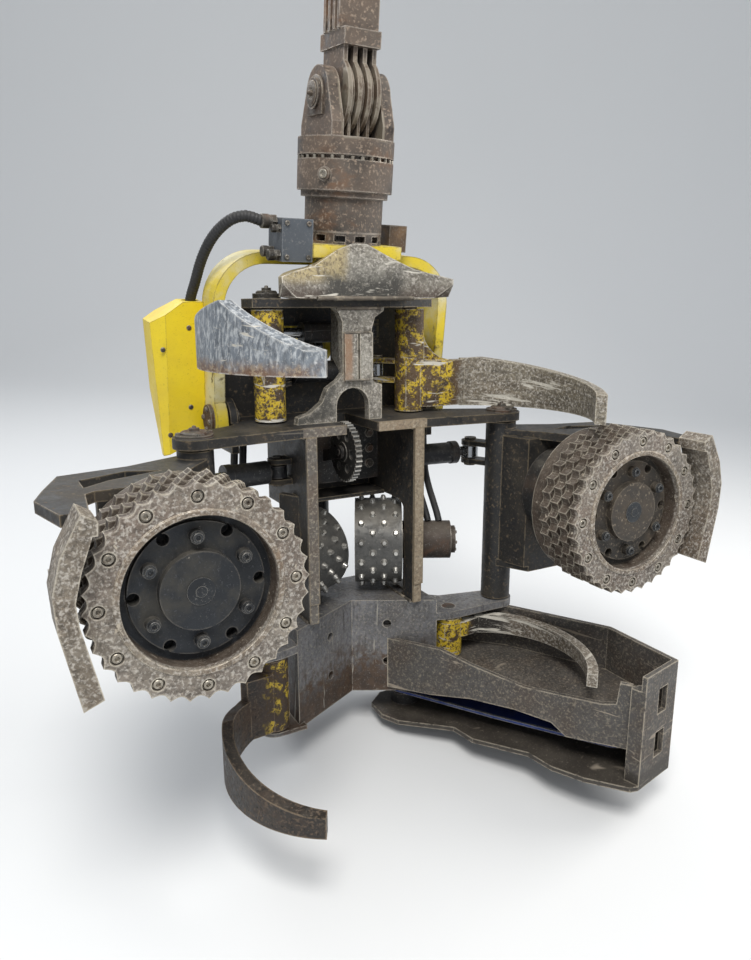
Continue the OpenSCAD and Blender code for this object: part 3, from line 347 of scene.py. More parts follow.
def headBox(x, y, z, softness=0.004, ragged=0.0):
    # limits in mm in the leaning head
    centre, half = boxLimits(x, y, z)
    return {"Centre": tuple(headPoint(*centre)), "Half": half, "Lean": math.radians(headPose["lean"]),
            "Softness": softness, "Ragged": ragged}


def hangBox(x, y, z, softness=0.004, ragged=0.0):
    # limits in mm below the crane pin, on what hangs straight
    centre, half = boxLimits(x, y, z)
    return {"Centre": tuple(c / 1000 for c in centre), "Half": half, "Softness": softness, "Ragged": ragged}


def headRound(point, radius, direction=(0, 0, 1), softness=0.004, ragged=0.0):
    return {"Point": tuple(headPoint(*point)), "Direction": tuple(headAxis(*direction)),
            "Radius": radius / 1000, "Softness": softness, "Ragged": ragged}


def hingePaint(x, y, reach, cover=0.6, under="#3d3027"):
    # chipped yellow over dark primer round a knife hinge
    painted = headRound((x, y, 0), reach * 0.84, ragged=0.06, softness=0.01)
    chipped = headRound((x, y, 0), reach * 0.9, ragged=0.04)
    return [area(headRound((x, y, 0), reach, ragged=0.05, softness=0.012), under),
            area(painted, "#c5a829", (30, cover, 0.04), rough=0.5),
            area(chipped, "#4d3b25", (120, 0.44, 0.05), rough=0.75),
            area(chipped, "#3c2f24", (14, 0.34, 0.06), rough=0.7)]


speckle = [stain(24, 0.42, "#3f3832", 0.2, amount=0.6), stain(95, 0.42, "#2d2926", 0.14, amount=0.55),
    stain(130, 0.38, "#d2ccc2", 0.1, metal=0.5, amount=0.7)]
wornRoller = dict(base="#8f8880", tone="#756e66", rough=0.52, metal=0.4, edges=1.0, edgeColor="#d5ccba", scores=0.4,
    scoreColor="#b9af9e", along=(1, 1, 1), stains=[stain(3.5, 0.44, "#755840", 0.3, amount=0.6),
    stain(6, 0.4, "#a39b8d", 0.2, metal=0.5, amount=0.7)] + speckle, pits=1.0, bump=0.7, dust=0.1)
wornPlate = dict(base="#302f2d", tone="#232426", rough=0.52, metal=0.2, edges=1.0, edgeColor="#94866f", scores=0.22,
    scoreColor="#5f5a52", stains=[stain(4, 0.36, "#3f382e", 0.16), stain(9, 0.32, "#1b1c1d", 0.14, rough=0.4),
    stain(90, 0.3, "#5c5040", 0.06)], dust=0.16, dustColor="#5f5c56")
wornBlade = dict(base="#928e84", tone="#767169", rough=0.4, metal=0.6, edges=1.0, edgeColor="#d6d0c3", scores=0.5,
    scoreColor="#c9c4b8", along=(0.12, 0.12, 1),
    stains=[stain(6, 0.4, "#6f6150", 0.24, stretch=(1, 1, 2.2), amount=0.7)] + speckle, pits=1.0, bump=0.7,
    dust=0.14)
brakeFace = hangBox((-64, 64), (-130, -62), (-390, -190), 0.003, 0.006)
tanSide = headBox((-280, -48), (380, 640), (636, 760), 0.02, 0.04)
cleatDrum = headBox((-1000, 1000), (13, 500), (-500, 500), 0.003, 0.004)
frontBars = headBox((-200, 200), (440, 461), (-420, 250), 0.002, 0.003)
rightBar = headBox((40, 200), (440, 461), (-420, 250), 0.002, 0.003)
barWear = [area(frontBars, "#6c6964", rough=0.5, metal=0.35), area(rightBar, "#a3957f", rough=0.5, metal=0.35),
    area(frontBars, "#6e5540", broken=(9, 0.4, 0.24), rough=0.7, amount=0.6),
    area(frontBars, "#3f352c", broken=(95, 0.42, 0.14), rough=0.7, amount=0.5),
    area(frontBars, "#c2b7a2", broken=(130, 0.34, 0.1), rough=0.4, metal=0.5, amount=0.6)]

finishes = {
    "pinSteel": dict(base="#5a554e", tone="#3d3a36", rough=0.45, metal=0.7, edges=0.5,
        stains=[stain(9, 0.45, "#4a3527")], dust=0.2),
    "boltSteel": dict(base="#a49c8e", tone="#7d766b", rough=0.38, metal=0.75, edges=0.8, edgeColor="#d8d2c4",
        edgeRadius=0.002, pits=0.4, dust=0.1, stains=[stain(60, 0.3, "#55483a", 0.06)]),
    "rotatorSteel": dict(base="#5a534c", tone="#3d3833", rough=0.55, metal=0.3, edges=0.8, edgeColor="#aea497",
        scores=0.2, scoreColor="#7b7166", along=(0.1, 0.1, 1),
        stains=[stain(4, 0.4, "#6b5b4e", 0.24), stain(7, 0.2, "#7a5638", 0.14, stretch=(1, 1, 2)),
        stain(13, 0.3, "#241e1b", 0.1, rough=0.4), stain(110, 0.34, "#8b7b6b", 0.06)],
        areas=[area(brakeFace, "#8e8576", metal=0.5, rough=0.4),
        area(brakeFace, "#544638", broken=(16, 0.5, 0.04), rough=0.6)], dust=0.3),
    "framePaint": dict(wornPlate, areas=barWear),
    # the arms take the frame's worn plate paint made darker, which is painted shade on these inner parts
    "armPaintAndShade": dict(wornPlate, base="#2b2a28", tone="#202123", edges=0.9),
    "spineSteel": dict(base="#aca89d", tone="#928d83", rough=0.48, metal=0.4, edges=0.9, edgeColor="#cbc2af",
        scores=0.3, scoreColor="#b3ab9b", along=(1, 1, 0.08),
        stains=[stain(7, 0.4, "#5f574b", 0.24, amount=0.7)] + speckle,
        areas=[area(headBox((-210, -60), (480, 560), (230, 370), 0.03, 0.06), "#46443f", broken=(40, 0.6, 0.16)),
        area(headBox((-46, -20), (498, 506), (358, 500), 0.008, 0.02), "#8a6f58")], pits=0.9, bump=0.6, dust=0.12),
    "bedSteel": dict(base="#85868a", tone="#6c6d70", rough=0.45, metal=0.45, edges=0.8, edgeColor="#b3ab9e",
        scores=0.4, scoreColor="#98948b", along=(1, 1, 0.05),
        stains=[stain(3.2, 0.42, "#4e463d", 0.24, stretch=(1.6, 1.6, 0.5), amount=0.8),
        stain(95, 0.4, "#3b3630", 0.14, amount=0.5), stain(130, 0.34, "#a29c90", 0.1, amount=0.5),
        stain(60, 0.3, "#38342f", 0.1, stretch=(1, 1, 0.12), amount=0.7)],
        areas=[area(headBox((-300, 300), (300, 800), (-720, -560), 0.05, 0.12), "#3a2e25"),
        area(headBox((-300, 300), (300, 800), (-760, -500), 0.05, 0.1), "#4b3a2c", broken=(40, 0.5, 0.1))],
        bump=0.5, dust=0.12),
    "topKnifeSteel": dict(wornBlade, base="#a19d92", tone="#8a867b",
        areas=[area(tanSide, "#ab9c76", metal=0.35, rough=0.5),
        area(tanSide, "#776a4f", broken=(90, 0.44, 0.06)),
        # the two dark areas low on the knife, under its ridge, are painted shade on its shadowed lower face
        area(headBox((-290, 290), (380, 640), (560, 618), 0.022, 0.05), "#4d4239", broken=(60, 0.7, 0.1)),
        area(headBox((-120, 130), (380, 640), (560, 655), 0.03, 0.08), "#3d3b36", broken=(60, 0.72, 0.1))]),
    "silverBlade": dict(wornBlade, base="#9aa0a6", tone="#7d848b", edgeColor="#e0dfda",
        stains=[stain(7, 0.4, "#646b75", 0.24, amount=0.8),
        stain(50, 0.4, "#33383e", 0.14, stretch=(1, 1, 0.3), rough=0.55, amount=0.75),
        stain(110, 0.4, "#d0d3d4", 0.1, stretch=(1, 1, 0.4), metal=0.7, amount=0.8)],
        # the brown band along the bottom of the knife is rust, made darker with painted shade
        areas=[area(headBox((-560, 0), (0, 560), (380, 446), 0.02, 0.05), "#6d5340"),
        area(headBox((-560, 0), (0, 560), (380, 446), 0.02, 0.04), "#a8967f", broken=(90, 0.44, 0.04),
        metal=0.5)] + hingePaint(-233, 608, 84, 0.6)),
    "tanBlade": dict(wornBlade, base="#9c9483", tone="#837c6d", edgeColor="#d6cdb9",
        stains=[stain(9, 0.42, "#6b5e4c", 0.22, stretch=(0.4, 0.4, 2.4), amount=0.8),
        stain(40, 0.42, "#453e35", 0.14, stretch=(0.2, 0.2, 1.8), rough=0.6, amount=0.75)] + speckle[1:],
        areas=hingePaint(233, 608, 165, 0.5, "#574530")),
    "darkBlade": dict(wornBlade, base="#36302a", tone="#252220", edgeColor="#97856f", scores=0.2,
        scoreColor="#6b5b4b", metal=0.25, stains=[stain(6, 0.36, "#4b3b2e", 0.14),
        stain(110, 0.36, "#5d4f41", 0.06), stain(140, 0.3, "#171615", 0.05)], areas=hingePaint(-306, 469, 74, 0.4)),
    "mixedBlade": dict(wornBlade, base="#92887a", tone="#756c5e",
        areas=[area(headRound((306, 469, 0), 190, ragged=0.05, softness=0.03), "#2d2925")]
        + hingePaint(306, 469, 80, 0.66)),
    "sheetYellow": dict(base="#e6cc24", tone="#dcc01f", rough=0.36, edges=0.35, edgeColor="#7d6e3c", edgeMetal=0.2,
        scores=0.1, scoreColor="#b39a20", bump=0.06,
        stains=[stain(26, 0.06, "#4c4230", 0.02), stain(3, 0.2, "#cdb23a", 0.16, rough=0.5)], dust=0.2,
        dustColor="#b5a75f"),
    "archYellow": dict(base="#dcc42c", tone="#cbb437", rough=0.5, edges=0.6, edgeColor="#6d5f3d", edgeMetal=0.2,
        scores=0.25, scoreColor="#8d7f45", bump=0.15,
        stains=[stain(5, 0.36, "#d3cca6", 0.12, rough=0.6), stain(16, 0.2, "#5a5037", 0.03)],
        areas=[area(hangBox((-500, 500), (-20, 400), (-1300, -880), 0.05, 0.1), "#54492f",
        broken=(12, 0.34, 0.04))], dust=0.35, dustColor="#a69d7a"),
    "ringSteel": dict(wornRoller, areas=[area(cleatDrum, "#4b3e33", rough=0.6, metal=0.25, amount=0.82),
        area(cleatDrum, "#2f2822", broken=(30, 0.4, 0.16), amount=0.7)]),
    "rimSteel": dict(wornRoller, base="#998c7a", tone="#83776a", edgeRadius=0.002),
    "keeperSteel": dict(base="#7d7468", tone="#5c5349", rough=0.45, metal=0.5, edges=0.9, edgeColor="#b7ac9b",
        edgeRadius=0.003, dust=0.2, pits=0.9, bump=0.5, stains=[stain(26, 0.4, "#4a3d33", 0.06)]),
    "beadSteel": dict(base="#6b6256", tone="#4a443c", rough=0.5, metal=0.4, edges=0.4, dust=0.15,
        stains=[stain(30, 0.4, "#8e8372", 0.06)]),
    "hubDust": dict(base="#3f3a34", tone="#302d29", rough=0.55, metal=0.15, edges=0.5, edgeColor="#857c6e",
        scores=0.15, scoreColor="#5d574d", dust=0.2,
        stains=[stain(8, 0.36, "#5a4e40", 0.14), stain(120, 0.3, "#7d7263", 0.05)]),
    "hubGrey": dict(base="#3b3e41", tone="#2b2d30", rough=0.45, metal=0.5, edges=0.8, edgeColor="#8d8a84",
        edgeRadius=0.002, dust=0.15),
    "hubBlack": dict(base="#23272c", tone="#1b1e22", rough=0.5, metal=0.15, edges=0.4, edgeColor="#6a655e",
        scores=0.15, scoreColor="#4b4c50", stains=[stain(10, 0.34, "#3a3833", 0.12),
        stain(70, 0.16, "#77726a", 0.03)], dust=0.2),
    "motorBlack": dict(base="#2a2928", tone="#1e1e1e", rough=0.5, metal=0.15, edges=0.5, edgeColor="#77706a",
        stains=[stain(8, 0.36, "#43372d", 0.1)], dust=0.3),
    "motorRust": dict(base="#4b4038", tone="#35302b", rough=0.65, metal=0.2, edges=0.5,
        stains=[stain(10, 0.36, "#5d4433", 0.1)], dust=0.25),
    "studLeft": dict(base="#c9c7c1", tone="#a3a19b", rough=0.28, metal=0.8, edges=0.3),
    "studRight": dict(base="#c9c7c1", tone="#a3a19b", rough=0.28, metal=0.8, edges=0.3),
    "wheelSteel": dict(base="#cfcdc6", tone="#aaa8a2", rough=0.3, metal=0.8, edges=0.3),
    "cylinderBlack": dict(base="#26272a", tone="#1e1f21", rough=0.42, edges=0.5, edgeColor="#716c66",
        stains=[stain(9, 0.3, "#4a3f35", 0.1)], dust=0.35),
    "rodChrome": dict(base="#b4b6b8", tone="#a3a5a7", rough=0.2, metal=1.0, edges=0.1, scores=0.1, bump=0.05,
        pits=0.0, dust=0.08, stains=[stain(20, 0.14, "#6b6257", 0.06, rough=0.5)]),
    "blockGrey": dict(base="#565c63", tone="#4b5056", rough=0.5, edges=0.4, edgeColor="#8f9396",
        stains=[stain(9, 0.2, "#3d3b37", 0.1)], dust=0.3),
    "coverBrown": dict(base="#54412f", tone="#3c3024", rough=0.6, edges=0.5, dust=0.3,
        stains=[stain(12, 0.35, "#6d5740", 0.1)]),
    "boxSteel": dict(base="#514f4d", tone="#3b3a3a", rough=0.5, metal=0.35, edges=1.0, edgeColor="#c2b7a4",
        scores=0.4, scoreColor="#94897a", along=(0.1, 0.1, 1),
        stains=[stain(5, 0.38, "#76706a", 0.24, metal=0.4, amount=0.7), stain(9, 0.38, "#453527", 0.2, amount=0.7),
        stain(80, 0.4, "#2b2722", 0.14, rough=0.45, amount=0.6),
        stain(130, 0.34, "#a99e8b", 0.1, metal=0.5, amount=0.5)],
        areas=[area(headBox((110, 900), (-400, 900), (-760, -706), 0.01, 0.01), "#38332d")], dust=0.1),
    "guardSteel": dict(wornRoller, base="#7b7264", tone="#5f574b", dust=0.1),
    "barBlue": dict(base="#12317c", tone="#0d2560", rough=0.35, metal=0.1, edges=0.4, edgeColor="#8b8d92",
        scores=0.3, scoreColor="#5a6a90", along=(0.1, 0.1, 1), bump=0.1, stains=[stain(7, 0.2, "#2c2a28", 0.08)],
        dust=0.1),
    "chainSteel": dict(base="#8a8a88", tone="#5f5f5e", rough=0.35, metal=0.85, edges=0.6, dust=0.05),
    "hoseRubber": dict(base="#1f1f20", tone="#29292a", rough=0.6, edges=0.1, edgeColor="#4a4a4a", scores=0.1,
        scoreColor="#3d3c3b", dust=0.4, dustColor="#57534d", stains=[stain(20, 0.25, "#35322e", 0.1)]),
}
innerLook = {"x": 141, "y": 645, "z": -182, "slope": math.radians(28), "drum": 139}


def innerAxis(side):
    return side * math.cos(innerLook["slope"]), -math.sin(innerLook["slope"]), 0


for name, side in (("studLeft", -1), ("studRight", 1)):
    middle = (side * innerLook["x"], innerLook["y"], innerLook["z"])
    shaft = headRound(middle, innerLook["drum"], innerAxis(side), 0.002)
    finishes[name]["areas"] = [area(shaft, "#1f2021", rough=0.5, metal=0.3), area(shaft, "#3a3a38", (60, 0.4, 0.08))]
wheelTeeth = headRound((-10, 572, 140), 89.5, (1, 0, 0), 0.0012)
finishes["wheelSteel"]["areas"] = [area(wheelTeeth, "#2b2a28", rough=0.5)]
finish = {name: wornFinish(name, look) for name, look in finishes.items()}


def pair(*names):
    return [name + side for name in names for side in ("_left", "_right")]


finishNodes = {
    "rotatorSteel": ["hanger_link", "rotator_bracket", "rotator_housing", "rotor_flange"],
    "archYellow": ["tilt_frame"], "sheetYellow": pair("tilt_cover"), "blockGrey": ["port_block"],
    "coverBrown": ["valve_cover"], "hoseRubber": ["tilt_hose"], "pinSteel": ["tilt_pins", "hinge_pins"],
    "framePaint": ["frame_shell", "roof_plate"] + pair("side_plate"), "bedSteel": ["lower_housing"],
    "spineSteel": ["spine"], "topKnifeSteel": ["top_knife"], "boxSteel": ["saw_box"],
    "motorBlack": ["valve_block", "saw_hub"] + pair("roller_motor"), "motorRust": pair("inner_motor"),
    "armPaintAndShade": pair("arm"), "guardSteel": pair("guard"), "ringSteel": pair("feed_ring"),
    "hubBlack": ["feed_hub_left"], "hubDust": ["feed_hub_right"], "studLeft": ["inner_roller_left"],
    "studRight": ["inner_roller_right"], "wheelSteel": ["measuring_wheel"], "barBlue": ["saw_bar"],
    "cylinderBlack": ["tilt_barrel"] + pair("arm_barrel", "knife_barrel"),
    "rodChrome": ["tilt_rod"] + pair("arm_rod", "knife_rod"), "silverBlade": ["upper_knife_left"],
    "tanBlade": ["upper_knife_right"], "darkBlade": ["lower_knife_left"], "mixedBlade": ["lower_knife_right"],
}
for used, names in finishNodes.items():
    for name in names:
        materials = nodes[name].data.materials
        materials.clear()
        materials.append(finish[used])
print("finishes on the frame")


# repeated pieces: each tree is built here, run once and kept as a plain mesh
class PatternTree:
    # a geometry tree under construction; its first input is the piece to repeat or the path to follow
    def __init__(self, name, inputs):
        self.tree = bpy.data.node_groups.new(name, "GeometryNodeTree")
        self.tree.interface.new_socket("Geometry", in_out="INPUT", socket_type="NodeSocketGeometry")
        self.sockets = {}
        for label, kind, value in inputs:
            socket = self.tree.interface.new_socket(label, in_out="INPUT", socket_type=kind)
            if value is not None:
                socket.default_value = value
            self.sockets[label] = socket.identifier
        self.tree.interface.new_socket("Geometry", in_out="OUTPUT", socket_type="NodeSocketGeometry")
        self.given = self.tree.nodes.new("NodeGroupInput").outputs
        self.result = self.tree.nodes.new("NodeGroupOutput")

    def add(self, kind, values=None, **settings):
        return wired(self.tree, kind, values or {}, **settings)

    def scaled(self, operation, *values):
        return self.add("ShaderNodeMath", dict(enumerate(values)), operation=operation).outputs[0]

    def finishWith(self, geometry):
        real = self.add("GeometryNodeRealizeInstances", {0: geometry})
        painted = self.add("GeometryNodeSetMaterial", {0: real.outputs[0], "Material": self.given["Material"]})
        self.tree.links.new(painted.outputs[0], self.result.inputs[0])


def runTree(pattern, name, seedMesh, values, matrix=None):
    # runs the tree on a passing object and returns its result as a plain mesh in its place
    seed = newObject(name + "Seed", seedMesh)
    modifier = seed.modifiers.new("pattern", "NODES")
    modifier.node_group = pattern.tree
    for label, value in values.items():
        modifier[pattern.sockets[label]] = value
    bpy.context.view_layer.update()
    plain = bpy.data.meshes.new_from_object(seed.evaluated_get(bpy.context.evaluated_depsgraph_get()))
    seed.modifiers.remove(modifier)
    bpy.data.objects.remove(seed)
    plain.name = name
    if matrix is not None:
        plain.transform(matrix)
    return plain


def buildRingPattern():
    # copies round a circle in the XY plane, each turned a little by chance
    pattern = PatternTree("ringOfPieces", [
        ("Count", "NodeSocketInt", 12), ("Radius", "NodeSocketFloat", 0.1), ("Chance", "NodeSocketFloat", 1.0),
        ("Material", "NodeSocketMaterial", None)])
    given = pattern.given
    circle = pattern.add("GeometryNodeMeshCircle", {"Vertices": given["Count"], "Radius": given["Radius"]})
    spin = pattern.add("FunctionNodeRandomValue", data_type="FLOAT")
    for socket in spin.inputs:
        if socket.name == "Seed":
            socket.default_value = 7
    put(pattern.tree, given["Chance"], [s for s in spin.inputs if s.name == "Max" and s.enabled][0])
    angle = pattern.add("ShaderNodeCombineXYZ", {2: [o for o in spin.outputs if o.enabled][0]})
    placed = pattern.add("GeometryNodeInstanceOnPoints", {
        "Points": circle.outputs[0], "Instance": given["Geometry"], "Rotation": angle.outputs[0]})
    pattern.finishWith(placed.outputs[0])
    return pattern


def buildBeadPattern():
    # a weld bead or a tube along a path, its thickness rippled by noise
    pattern = PatternTree("beadAlongPath", [
        ("Radius", "NodeSocketFloat", 0.004), ("Ripple", "NodeSocketFloat", 0.35), ("Step", "NodeSocketFloat", 0.006),
        ("Material", "NodeSocketMaterial", None)])
    given = pattern.given
    curve = pattern.add("GeometryNodeMeshToCurve", {0: given["Geometry"]})
    fine = pattern.add("GeometryNodeResampleCurve", {"Curve": curve.outputs[0], "Length": given["Step"]},
                       mode="LENGTH")
    noise = pattern.add("ShaderNodeTexNoise", {"Scale": 90.0, "Detail": 3.0})
    swing = pattern.scaled("MULTIPLY", pattern.scaled("SUBTRACT", noise.outputs[0], 0.5), given["Ripple"])
    width = pattern.scaled("MULTIPLY", pattern.scaled("MULTIPLY_ADD", swing, 2.0, 1.0), given["Radius"])
    profile = pattern.add("GeometryNodeCurvePrimitiveCircle", {"Resolution": 8, "Radius": 1.0})
    body = pattern.add("GeometryNodeCurveToMesh", {"Curve": fine.outputs[0], "Profile Curve": profile.outputs[0],
                                                   "Scale": width, "Fill Caps": True})
    pattern.finishWith(body.outputs[0])
    return pattern


def buildChainPattern():
    # a link on every step of a path, turned along it
    pattern = PatternTree("linksAlongPath", [
        ("Link", "NodeSocketObject", None), ("Count", "NodeSocketInt", 60), ("Material", "NodeSocketMaterial", None)])
    given = pattern.given
    curve = pattern.add("GeometryNodeMeshToCurve", {0: given["Geometry"]})
    points = pattern.add("GeometryNodeCurveToPoints", {"Curve": curve.outputs[0], "Count": given["Count"]},
                         mode="COUNT")
    link = pattern.add("GeometryNodeObjectInfo", {"Object": given["Link"]})
    turned = pattern.add("FunctionNodeAlignRotationToVector", {"Vector": points.outputs["Tangent"]}, axis="X",
                         pivot_axis="Z")
    placed = pattern.add("GeometryNodeInstanceOnPoints", {
        "Points": points.outputs[0], "Instance": link.outputs["Geometry"], "Rotation": turned.outputs[0]})
    pattern.finishWith(placed.outputs[0])
    return pattern


patterns = {"ring": buildRingPattern(), "bead": buildBeadPattern(), "chain": buildChainPattern()}


def toMesh(name, shape):
    mesh = bpy.data.meshes.new(name)
    shape.to_mesh(mesh)
    shape.free()
    return mesh


def roundPoint(radius, degrees):
    return radius * math.cos(math.radians(degrees)), radius * math.sin(math.radians(degrees))


def frameAt(origin, axis, sideways=None):
    # a place whose Z runs along axis and whose X leans towards sideways
    z = Vector(axis).normalized()
    x = Vector(sideways) if sideways else (Vector((1, 0, 0)) if abs(z.x) < 0.9 else Vector((0, 1, 0)))
    x = (x - z * x.dot(z)).normalized()
    return Matrix.Translation(origin) @ Matrix((x, z.cross(x), z)).transposed().to_4x4()


def lathe(name, rings, segments=24, closed=False):
    # turned piece from (radius, height) rings; a third number gives a ring that many flats,
    # and closed joins the last ring to the first, as on a hoop
    shape = bmesh.new()
    rows = []
    for radius, height, *flats in rings:
        row = []
        if radius == 0:
            row = [shape.verts.new((0, 0, height))] * segments
        else:
            for i in range(segments):
                angle = 2 * math.pi * i / segments
                reach = radius
                if flats:
                    half = math.pi / flats[0]
                    reach = radius * math.cos(half) / math.cos(angle % (2 * half) - half)
                row.append(shape.verts.new((reach * math.cos(angle), reach * math.sin(angle), height)))
        rows.append(row)
    for low, high in zip(rows, rows[1:] + (rows[:1] if closed else [])):
        for i in range(segments):
            j = (i + 1) % segments
            corners = []
            for corner in (low[i], low[j], high[j], high[i]):
                if corner not in corners:
                    corners.append(corner)
            if len(corners) > 2:
                shape.faces.new(corners)
    for row, ring in ((list(reversed(rows[0])), rings[0]), (rows[-1], rings[-1])):
        if ring[0] > 0 and not closed:
            shape.faces.new(row)
    bmesh.ops.recalc_face_normals(shape, faces=shape.faces)
    return toMesh(name, shape)


def pathMesh(name, points, closed=False):
    mesh = bpy.data.meshes.new(name)
    edges = [(i, i + 1) for i in range(len(points) - 1)] + ([(len(points) - 1, 0)] if closed else [])
    mesh.from_pydata([tuple(p) for p in points], edges, [])
    return mesh


def plateMesh(name, outline, thickness, bevel=0.0015):
    # a flat plate from an outline in XY, its edges taken off
    shape = bmesh.new()
    face = shape.faces.new([shape.verts.new((x, y, 0)) for x, y in outline])
    pushed = bmesh.ops.extrude_face_region(shape, geom=[face])
    raised = [v for v in pushed["geom"] if isinstance(v, bmesh.types.BMVert)]
    bmesh.ops.translate(shape, vec=(0, 0, thickness), verts=raised)
    bmesh.ops.recalc_face_normals(shape, faces=shape.faces)
    rim = [e for e in shape.edges if e.calc_face_angle(0) > 0.6]
    bmesh.ops.bevel(shape, geom=rim, offset=bevel, segments=2, profile=0.6, affect="EDGES")
    return toMesh(name, shape)


def joined(name, meshes, finishName):
    # several meshes of one finish as one
    combined = bmesh.new()
    for mesh in meshes:
        combined.from_mesh(mesh)
    for face in combined.faces:
        face.material_index = 0
    whole = toMesh(name, combined)
    whole.materials.append(finish[finishName])
    return whole


def addPiece(name, meshes, body, finishName, smooth=35):
    mesh = joined(name, meshes, finishName)
    mesh.polygons.foreach_set("use_smooth", [True] * len(mesh.polygons))
    mesh.set_sharp_from_angle(angle=math.radians(smooth))
    piece = newObject(name, mesh)
    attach(piece, body)
    return piece


def moved(mesh, matrix):
    mesh.transform(matrix)
    return mesh


# fasteners, as rings of radius and height in metres
def capScrew(radius, height, washer=0.0):
    rings = [(washer, 0), (washer, 0.0018), (radius * 1.02, 0.0018)] if washer else [(radius, 0)]
    rings += [(radius, height - 0.0012), (radius - 0.0012, height), (radius * 0.6, height),
              (radius * 0.56, height - 0.0006, 6), (radius * 0.56, height * 0.45, 6), (0, height * 0.45)]
    return lathe("capScrew", rings)


def hexBolt(radius, height, washer=0.0):
    rings = [(washer, 0), (washer, 0.0018)] if washer else []
    rings += [(radius, 0.0018 if washer else 0.0, 6), (radius, height - 0.0014, 6), (radius * 0.86, height),
              (0, height)]
    return lathe("hexBolt", rings)


def ringOf(name, piece, origin, axis, count, radius, finishName, sideways=None, turned=0.0, chance=1.0):
    place = frameAt(origin, axis, sideways) @ Matrix.Rotation(math.radians(turned), 4, "Z")
    return runTree(patterns["ring"], name, piece, {"Count": count, "Radius": radius, "Chance": chance,
                                                   "Material": finish[finishName]}, place)


def bead(name, points, radius):
    return runTree(patterns["bead"], name, pathMesh(name + "Path", points),
                   {"Radius": radius, "Ripple": 0.35, "Step": 0.006, "Material": finish["pinSteel"]})


print("patterns ready")

# free hose from the port block over the left arm and into the cover
tiltHose = {"diameter": 0.030, "route": [
    (-0.2262, -0.050, -0.606), (-0.262, -0.050, -0.606), (-0.305, -0.042, -0.596), (-0.342, -0.018, -0.610),
    (-0.374, 0.020, -0.652), (-0.394, 0.060, -0.712), (-0.404, 0.100, -0.782), (-0.410, 0.130, -0.832),
    (-0.410, 0.138, -0.880), (-0.410, 0.140, -0.940)], "rib": 0.009}


def smoothPath(points, steps):
    # the same curve that the frame's own hose follows
    points = [Vector(p) for p in points]
    made = []
    for i in range(len(points) - 1):
        a, b, c, d = points[max(i - 1, 0)], points[i], points[i + 1], points[min(i + 2, len(points) - 1)]
        for j in range(steps):
            t = j / steps
            made.append(0.5 * (2 * b + (c - a) * t + (2 * a - 5 * b + 4 * c - d) * t * t
                               + (3 * b - a - 3 * c + d) * t * t * t))
    return made + [points[-1]]


def tubeMesh(name, path, diameter, sides=20, rib=0.0, depth=0.0012):
    # a tube round the path; with a rib pitch, its outside swells once in each pitch
    points, walked, fine = [Vector(p) for p in path], 0.0, []
    step = rib / 6 if rib else 0.008
    for a, b in zip(points, points[1:]):
        pieces = max(1, round((b - a).length / step))
        fine += [a.lerp(b, i / pieces) for i in range(pieces)]
    fine.append(points[-1])
    shape, rows, side = bmesh.new(), [], None
    for i, here in enumerate(fine):
        along = (fine[min(i + 1, len(fine) - 1)] - fine[max(i - 1, 0)]).normalized()
        side = (side - along * side.dot(along)).normalized() if side else along.orthogonal().normalized()
        other = along.cross(side)
        walked += (here - fine[i - 1]).length if i else 0
        swell = -depth * (0.5 - 0.5 * math.cos(2 * math.pi * walked / rib)) if rib else 0
        reach = diameter / 2 + swell
        turns = [2 * math.pi * k / sides for k in range(sides)]
        rows.append([shape.verts.new(here + reach * (math.cos(turn) * side + math.sin(turn) * other))
                     for turn in turns])
    for low, high in zip(rows, rows[1:]):
        for k in range(sides):
            shape.faces.new((low[k], low[(k + 1) % sides], high[(k + 1) % sides], high[k]))
    shape.faces.new(list(reversed(rows[0])))
    shape.faces.new(rows[-1])
    bmesh.ops.recalc_face_normals(shape, faces=shape.faces)
    return toMesh(name, shape)


def addHose(name, look, body, stands=None):
    path = smoothPath(look["route"], 3)
    tube = tubeMesh(name, path, look["diameter"], rib=look.get("rib", 0))
    hose = addPiece(name, [tube], body, "hoseRubber", 60)
    if stands:
        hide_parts(stands)


def hoseEnd(radius):
    # hexagon nut and crimped sleeve of a hose end, out along +Z
    rings = [(1.3, 0, 6), (1.3, 0.9, 6), (1.08, 0.95), (1.08, 1.2), (1.22, 1.3), (1.22, 2.6), (1.02, 2.75)]
    return lathe("hoseEnd", [(radius * reach, radius * height, *flats) for reach, height, *flats in rings])


addHose("tiltHose", tiltHose, "tilt", "tilt_hose")
addPiece("tiltHoseEnd", [moved(hoseEnd(0.0152), frameAt((-0.2262, -0.050, -0.606), (-1, 0, 0)))], "tilt", "pinSteel")
innerHose = {"diameter": 0.022, "spread": (-0.032, 0.016), "route": [
    (0.325, 0.665, 0.205), (0.327, 0.668, 0.150), (0.330, 0.668, 0.090), (0.328, 0.655, 0.030),
    (0.324, 0.625, -0.020), (0.320, 0.590, -0.062), (0.318, 0.565, -0.095), (0.3176, 0.552, -0.119)]}
for side, label in ((-1, "Left"), (1, "Right")):
    for shift in (0, 1):
        aside, back = (1000 * shift * value for value in innerHose["spread"])
        route = [headPoint(side * (1000 * x + aside), 1000 * y + back, 1000 * z) for x, y, z in innerHose["route"]]
        addHose("motorHose" + label + ("Outer", "Inner")[shift], dict(innerHose, route=route), "head")
print("hoses laid")

# feed rollers: screws of the cleat ring, hub screws, centre cap and the wear ring of the rim
feedLook = {"axis": 620, "ringFace": 11.8, "hubFace": 20, "capFace": 16, "screws": 12, "screwCircle": 0.205,
            "hubScrews": 6, "hubCircle": 0.115, "rimRadius": 0.1652}


